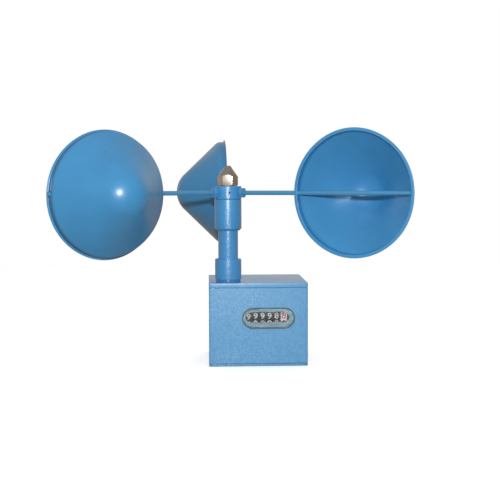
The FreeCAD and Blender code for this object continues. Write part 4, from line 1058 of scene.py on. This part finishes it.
def flat_digit(value):
    """A figure as a flat mesh, centred, DIGIT_HEIGHT tall, sliced so that it can bend round a drum."""
    curve = bpy.data.curves.new("digit", "FONT")
    curve.body = str(value)
    curve.resolution_u = 4
    curve.offset = DIGIT_BOLD
    writing = add_object("digit", curve)
    mesh = evaluated_mesh(writing)
    bpy.data.objects.remove(writing)
    shape = bmesh.new()
    shape.from_mesh(mesh)
    xs = [vertex.co.x for vertex in shape.verts]
    ys = [vertex.co.y for vertex in shape.verts]
    scale = DIGIT_HEIGHT / (max(ys) - min(ys))
    middle = Vector(((max(xs) + min(xs)) / 2, (max(ys) + min(ys)) / 2, 0))
    for vertex in shape.verts:
        vertex.co = (vertex.co - middle) * scale
        vertex.co.x *= DIGIT_STRETCH
    for k in range(1, DIGIT_SLICES):
        level = DIGIT_HEIGHT * (k / DIGIT_SLICES - 0.5)
        everything = shape.verts[:] + shape.edges[:] + shape.faces[:]
        bmesh.ops.bisect_plane(shape, geom=everything, plane_co=(0, level, 0), plane_no=(0, 1, 0))
    bmesh.ops.remove_doubles(shape, verts=shape.verts, dist=DIGIT_MERGE)
    bmesh.ops.dissolve_degenerate(shape, dist=DIGIT_MERGE, edges=shape.edges)
    return shape


def make_digits(drum):
    """The ten figures printed round one drum, the reading in front and the next figure below it."""
    node = f"digit_drum_{drum}"
    body = f"drum_{drum}"
    axis = joint_point(f"drum_{drum}_spin")
    low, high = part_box(node)
    radius = (high.z - low.z) / 2
    whole = bmesh.new()
    for value in range(10):
        shape = flat_digit(value)
        top = bmesh.ops.extrude_face_region(shape, geom=shape.faces[:])
        for item in top["geom"]:
            if isinstance(item, bmesh.types.BMVert):
                item.co.z += DIGIT_LIFT * 2
        below = (value - READING[drum - 1]) * DIGIT_STEP
        for vertex in shape.verts:
            angle = vertex.co.y / radius - below + DRUM_LAG[drum - 1]
            reach = radius - DIGIT_LIFT + vertex.co.z
            vertex.co = axis + Vector((vertex.co.x, -reach * math.cos(angle), reach * math.sin(angle)))
        flat = bpy.data.meshes.new("digit")
        shape.to_mesh(flat)
        shape.free()
        whole.from_mesh(flat)
    mesh = bpy.data.meshes.new(f"drum_digits_{drum}")
    bmesh.ops.recalc_face_normals(whole, faces=whole.faces)
    whole.to_mesh(mesh)
    whole.free()
    digits = add_object(f"drum_digits_{drum}", mesh)
    slot = NODE_SLOT[node]
    return dress(digits, "red_ink" if slot == "drum_white" else "white_ink", body, slot)


# ---------------------------------------------------------------- stage, light and camera

FLOOR_RADIUS = 1.6
FLOOR_CLEAR = 0.5
FLOOR_DROP = 0.2 * MM
FLOOR_GLOW = 0.42


def make_stage():
    """A pale round floor that fades out into the pale background beyond FLOOR_CLEAR."""
    ring = []
    for degrees in range(0, 360, 5):
        angle = math.radians(degrees)
        ring.append((FLOOR_RADIUS * math.cos(angle), FLOOR_RADIUS * math.sin(angle), -FLOOR_DROP))
    floor = mesh_object("floor", ring, [list(range(len(ring)))])
    surface = Surface(Roughness=0.9, Specular_IOR_Level=0.0)
    surface.material.name = "pale_floor"
    surface.shader.inputs["Emission Color"].default_value = (1, 1, 1, 1)
    surface.shader.inputs["Emission Strength"].default_value = FLOOR_GLOW
    tone = surface.mix(surface.noise(200 * MM), (0.93, 0.93, 0.93), (0.95, 0.95, 0.95))
    distance = surface.node("ShaderNodeVectorMath", {0: surface.place}, operation="LENGTH")
    edge = FLOOR_RADIUS * 0.95
    solid = surface.level(distance.outputs["Value"], 1.0, 0.0, start=FLOOR_CLEAR, end=edge)
    surface.link(solid, surface.shader.inputs["Alpha"])
    floor.data.materials.append(surface.finish(tone))
    floor.visible_glossy = False
    floor.visible_diffuse = False


def area_light(name, location, size, watts):
    """A round lamp, size metres across, that points at the object."""
    data = bpy.data.lights.new(name, "AREA")
    data.shape = "DISK"
    data.size = size
    data.energy = watts
    light = add_object(name, data)
    light.location = location
    light.rotation_euler = (MIDDLE - Vector(location)).to_track_quat("-Z", "Y").to_euler()
    return light


# Colours of the room by the height of the direction looked in: -1 is straight down, 1 straight up.
ROOM_BY_HEIGHT = [
    (0.00, (0.34, 0.24, 0.17)),
    (0.48, (0.32, 0.25, 0.20)),
    (0.60, (0.42, 0.40, 0.37)),
    (1.00, (0.56, 0.56, 0.56)),
]
# The same for the wall behind the object, and how far back a direction points where it fades in.
WALL_BY_HEIGHT = [
    (0.00, (0.40, 0.27, 0.18)),
    (0.40, (0.62, 0.45, 0.31)),
    (0.52, (1.00, 0.86, 0.68)),
    (0.75, (0.70, 0.66, 0.60)),
    (1.00, (0.56, 0.56, 0.56)),
]
WALL_FADE = (0.1, 0.95)
ROOM_STRENGTH = 0.8


def make_world():
    """A soft warm room for the object, brighter behind it, and plain white for the camera."""
    world = bpy.data.worlds.new("studio")
    bpy.context.scene.world = world
    world.use_nodes = True
    tree = world.node_tree
    tree.nodes.clear()
    link = tree.links.new
    place = tree.nodes.new("ShaderNodeTexCoord")
    split = tree.nodes.new("ShaderNodeSeparateXYZ")
    link(place.outputs["Generated"], split.inputs[0])

    def gradient(source, ends, stops):
        """Colours along one coordinate of the direction, from one end to the other."""
        spread = tree.nodes.new("ShaderNodeMapRange")
        spread.inputs["From Min"].default_value = ends[0]
        spread.inputs["From Max"].default_value = ends[1]
        link(source, spread.inputs["Value"])
        ramp = tree.nodes.new("ShaderNodeValToRGB")
        set_stops(ramp, stops)
        link(spread.outputs[0], ramp.inputs[0])
        return ramp.outputs[0]

    around = gradient(split.outputs["Z"], (-1, 1), ROOM_BY_HEIGHT)
    behind = gradient(split.outputs["Z"], (-1, 1), WALL_BY_HEIGHT)
    depth = gradient(split.outputs["Y"], WALL_FADE, [(0, (0, 0, 0)), (1, (1, 1, 1))])
    room = tree.nodes.new("ShaderNodeMix")
    room.data_type = "RGBA"
    for source, socket in ((depth, FACTOR), (around, FIRST_COLOUR), (behind, SECOND_COLOUR)):
        link(source, room.inputs[socket])
    soft = tree.nodes.new("ShaderNodeBackground")
    soft.inputs["Strength"].default_value = ROOM_STRENGTH
    link(room.outputs[MIXED_COLOUR], soft.inputs["Color"])
    plain = tree.nodes.new("ShaderNodeBackground")
    plain.inputs["Color"].default_value = (1, 1, 1, 1)
    ray = tree.nodes.new("ShaderNodeLightPath")
    choose = tree.nodes.new("ShaderNodeMixShader")
    link(ray.outputs["Is Camera Ray"], choose.inputs[0])
    link(soft.outputs[0], choose.inputs[1])
    link(plain.outputs[0], choose.inputs[2])
    output = tree.nodes.new("ShaderNodeOutputWorld")
    link(choose.outputs[0], output.inputs[0])


CAMERA = Vector((-0.0203, -0.9633, 0.1931))
CAMERA_YAW = math.radians(2.607)
CAMERA_PITCH = math.radians(4.14)
CAMERA_ROLL = math.radians(-0.166)
CAMERA_LENS = 64.53
SENSOR = 36
FLASH_ABOVE = 0.09
MIDDLE = Vector((0.03, 0, 0.15))


def make_camera():
    """The photograph's view: yaw to the right, pitch downward, and a slight roll."""
    data = bpy.data.cameras.new("camera")
    data.sensor_width = SENSOR
    data.lens = CAMERA_LENS
    camera = add_object("camera", data)
    turn = Matrix.Rotation(-CAMERA_YAW, 4, "Z") @ Matrix.Rotation(math.pi / 2 - CAMERA_PITCH, 4, "X")
    camera.matrix_world = Matrix.Translation(CAMERA) @ turn @ Matrix.Rotation(CAMERA_ROLL, 4, "Z")
    bpy.context.scene.camera = camera


def make_lights():
    """A small flash above the camera, and two large soft lamps that leave no reflections."""
    area_light("flash", CAMERA + UP * FLASH_ABOVE, 0.035, 7.4)
    overhead = area_light("overhead", (-0.4, 0.2, 1.7), 1.2, 2.4)
    overhead.visible_glossy = False
    back_fill = area_light("back_fill", (0.5, 1.3, 0.9), 1.0, 5.0)
    back_fill.visible_glossy = False


# ---------------------------------------------------------------- the whole object

# Nodes that were painted over, so that their finish differs from the rest of their slot.
NODE_FINISH = {
    "rotor_grub_screws": "painted_screw",
    "top_gasket": "ring_paint",
    "base_gasket": "ring_paint",
}

for cup in CUP_NAMES:
    make_cup(cup)
    make_arm(cup)
make_lock_nuts()
make_hub()
make_cap_nut()
make_column()
make_case()
make_top_plate()
make_window()
for drum_number in range(1, 7):
    make_digits(drum_number)

for node_name, node_object in frame["nodes"].items():
    chosen = NODE_FINISH.get(node_name, NODE_SLOT[node_name])
    node_object.data.materials.clear()
    node_object.data.materials.append(FINISHES[chosen])

make_stage()
make_world()
make_lights()
make_camera()
bpy.context.scene.view_settings.view_transform = "Standard"
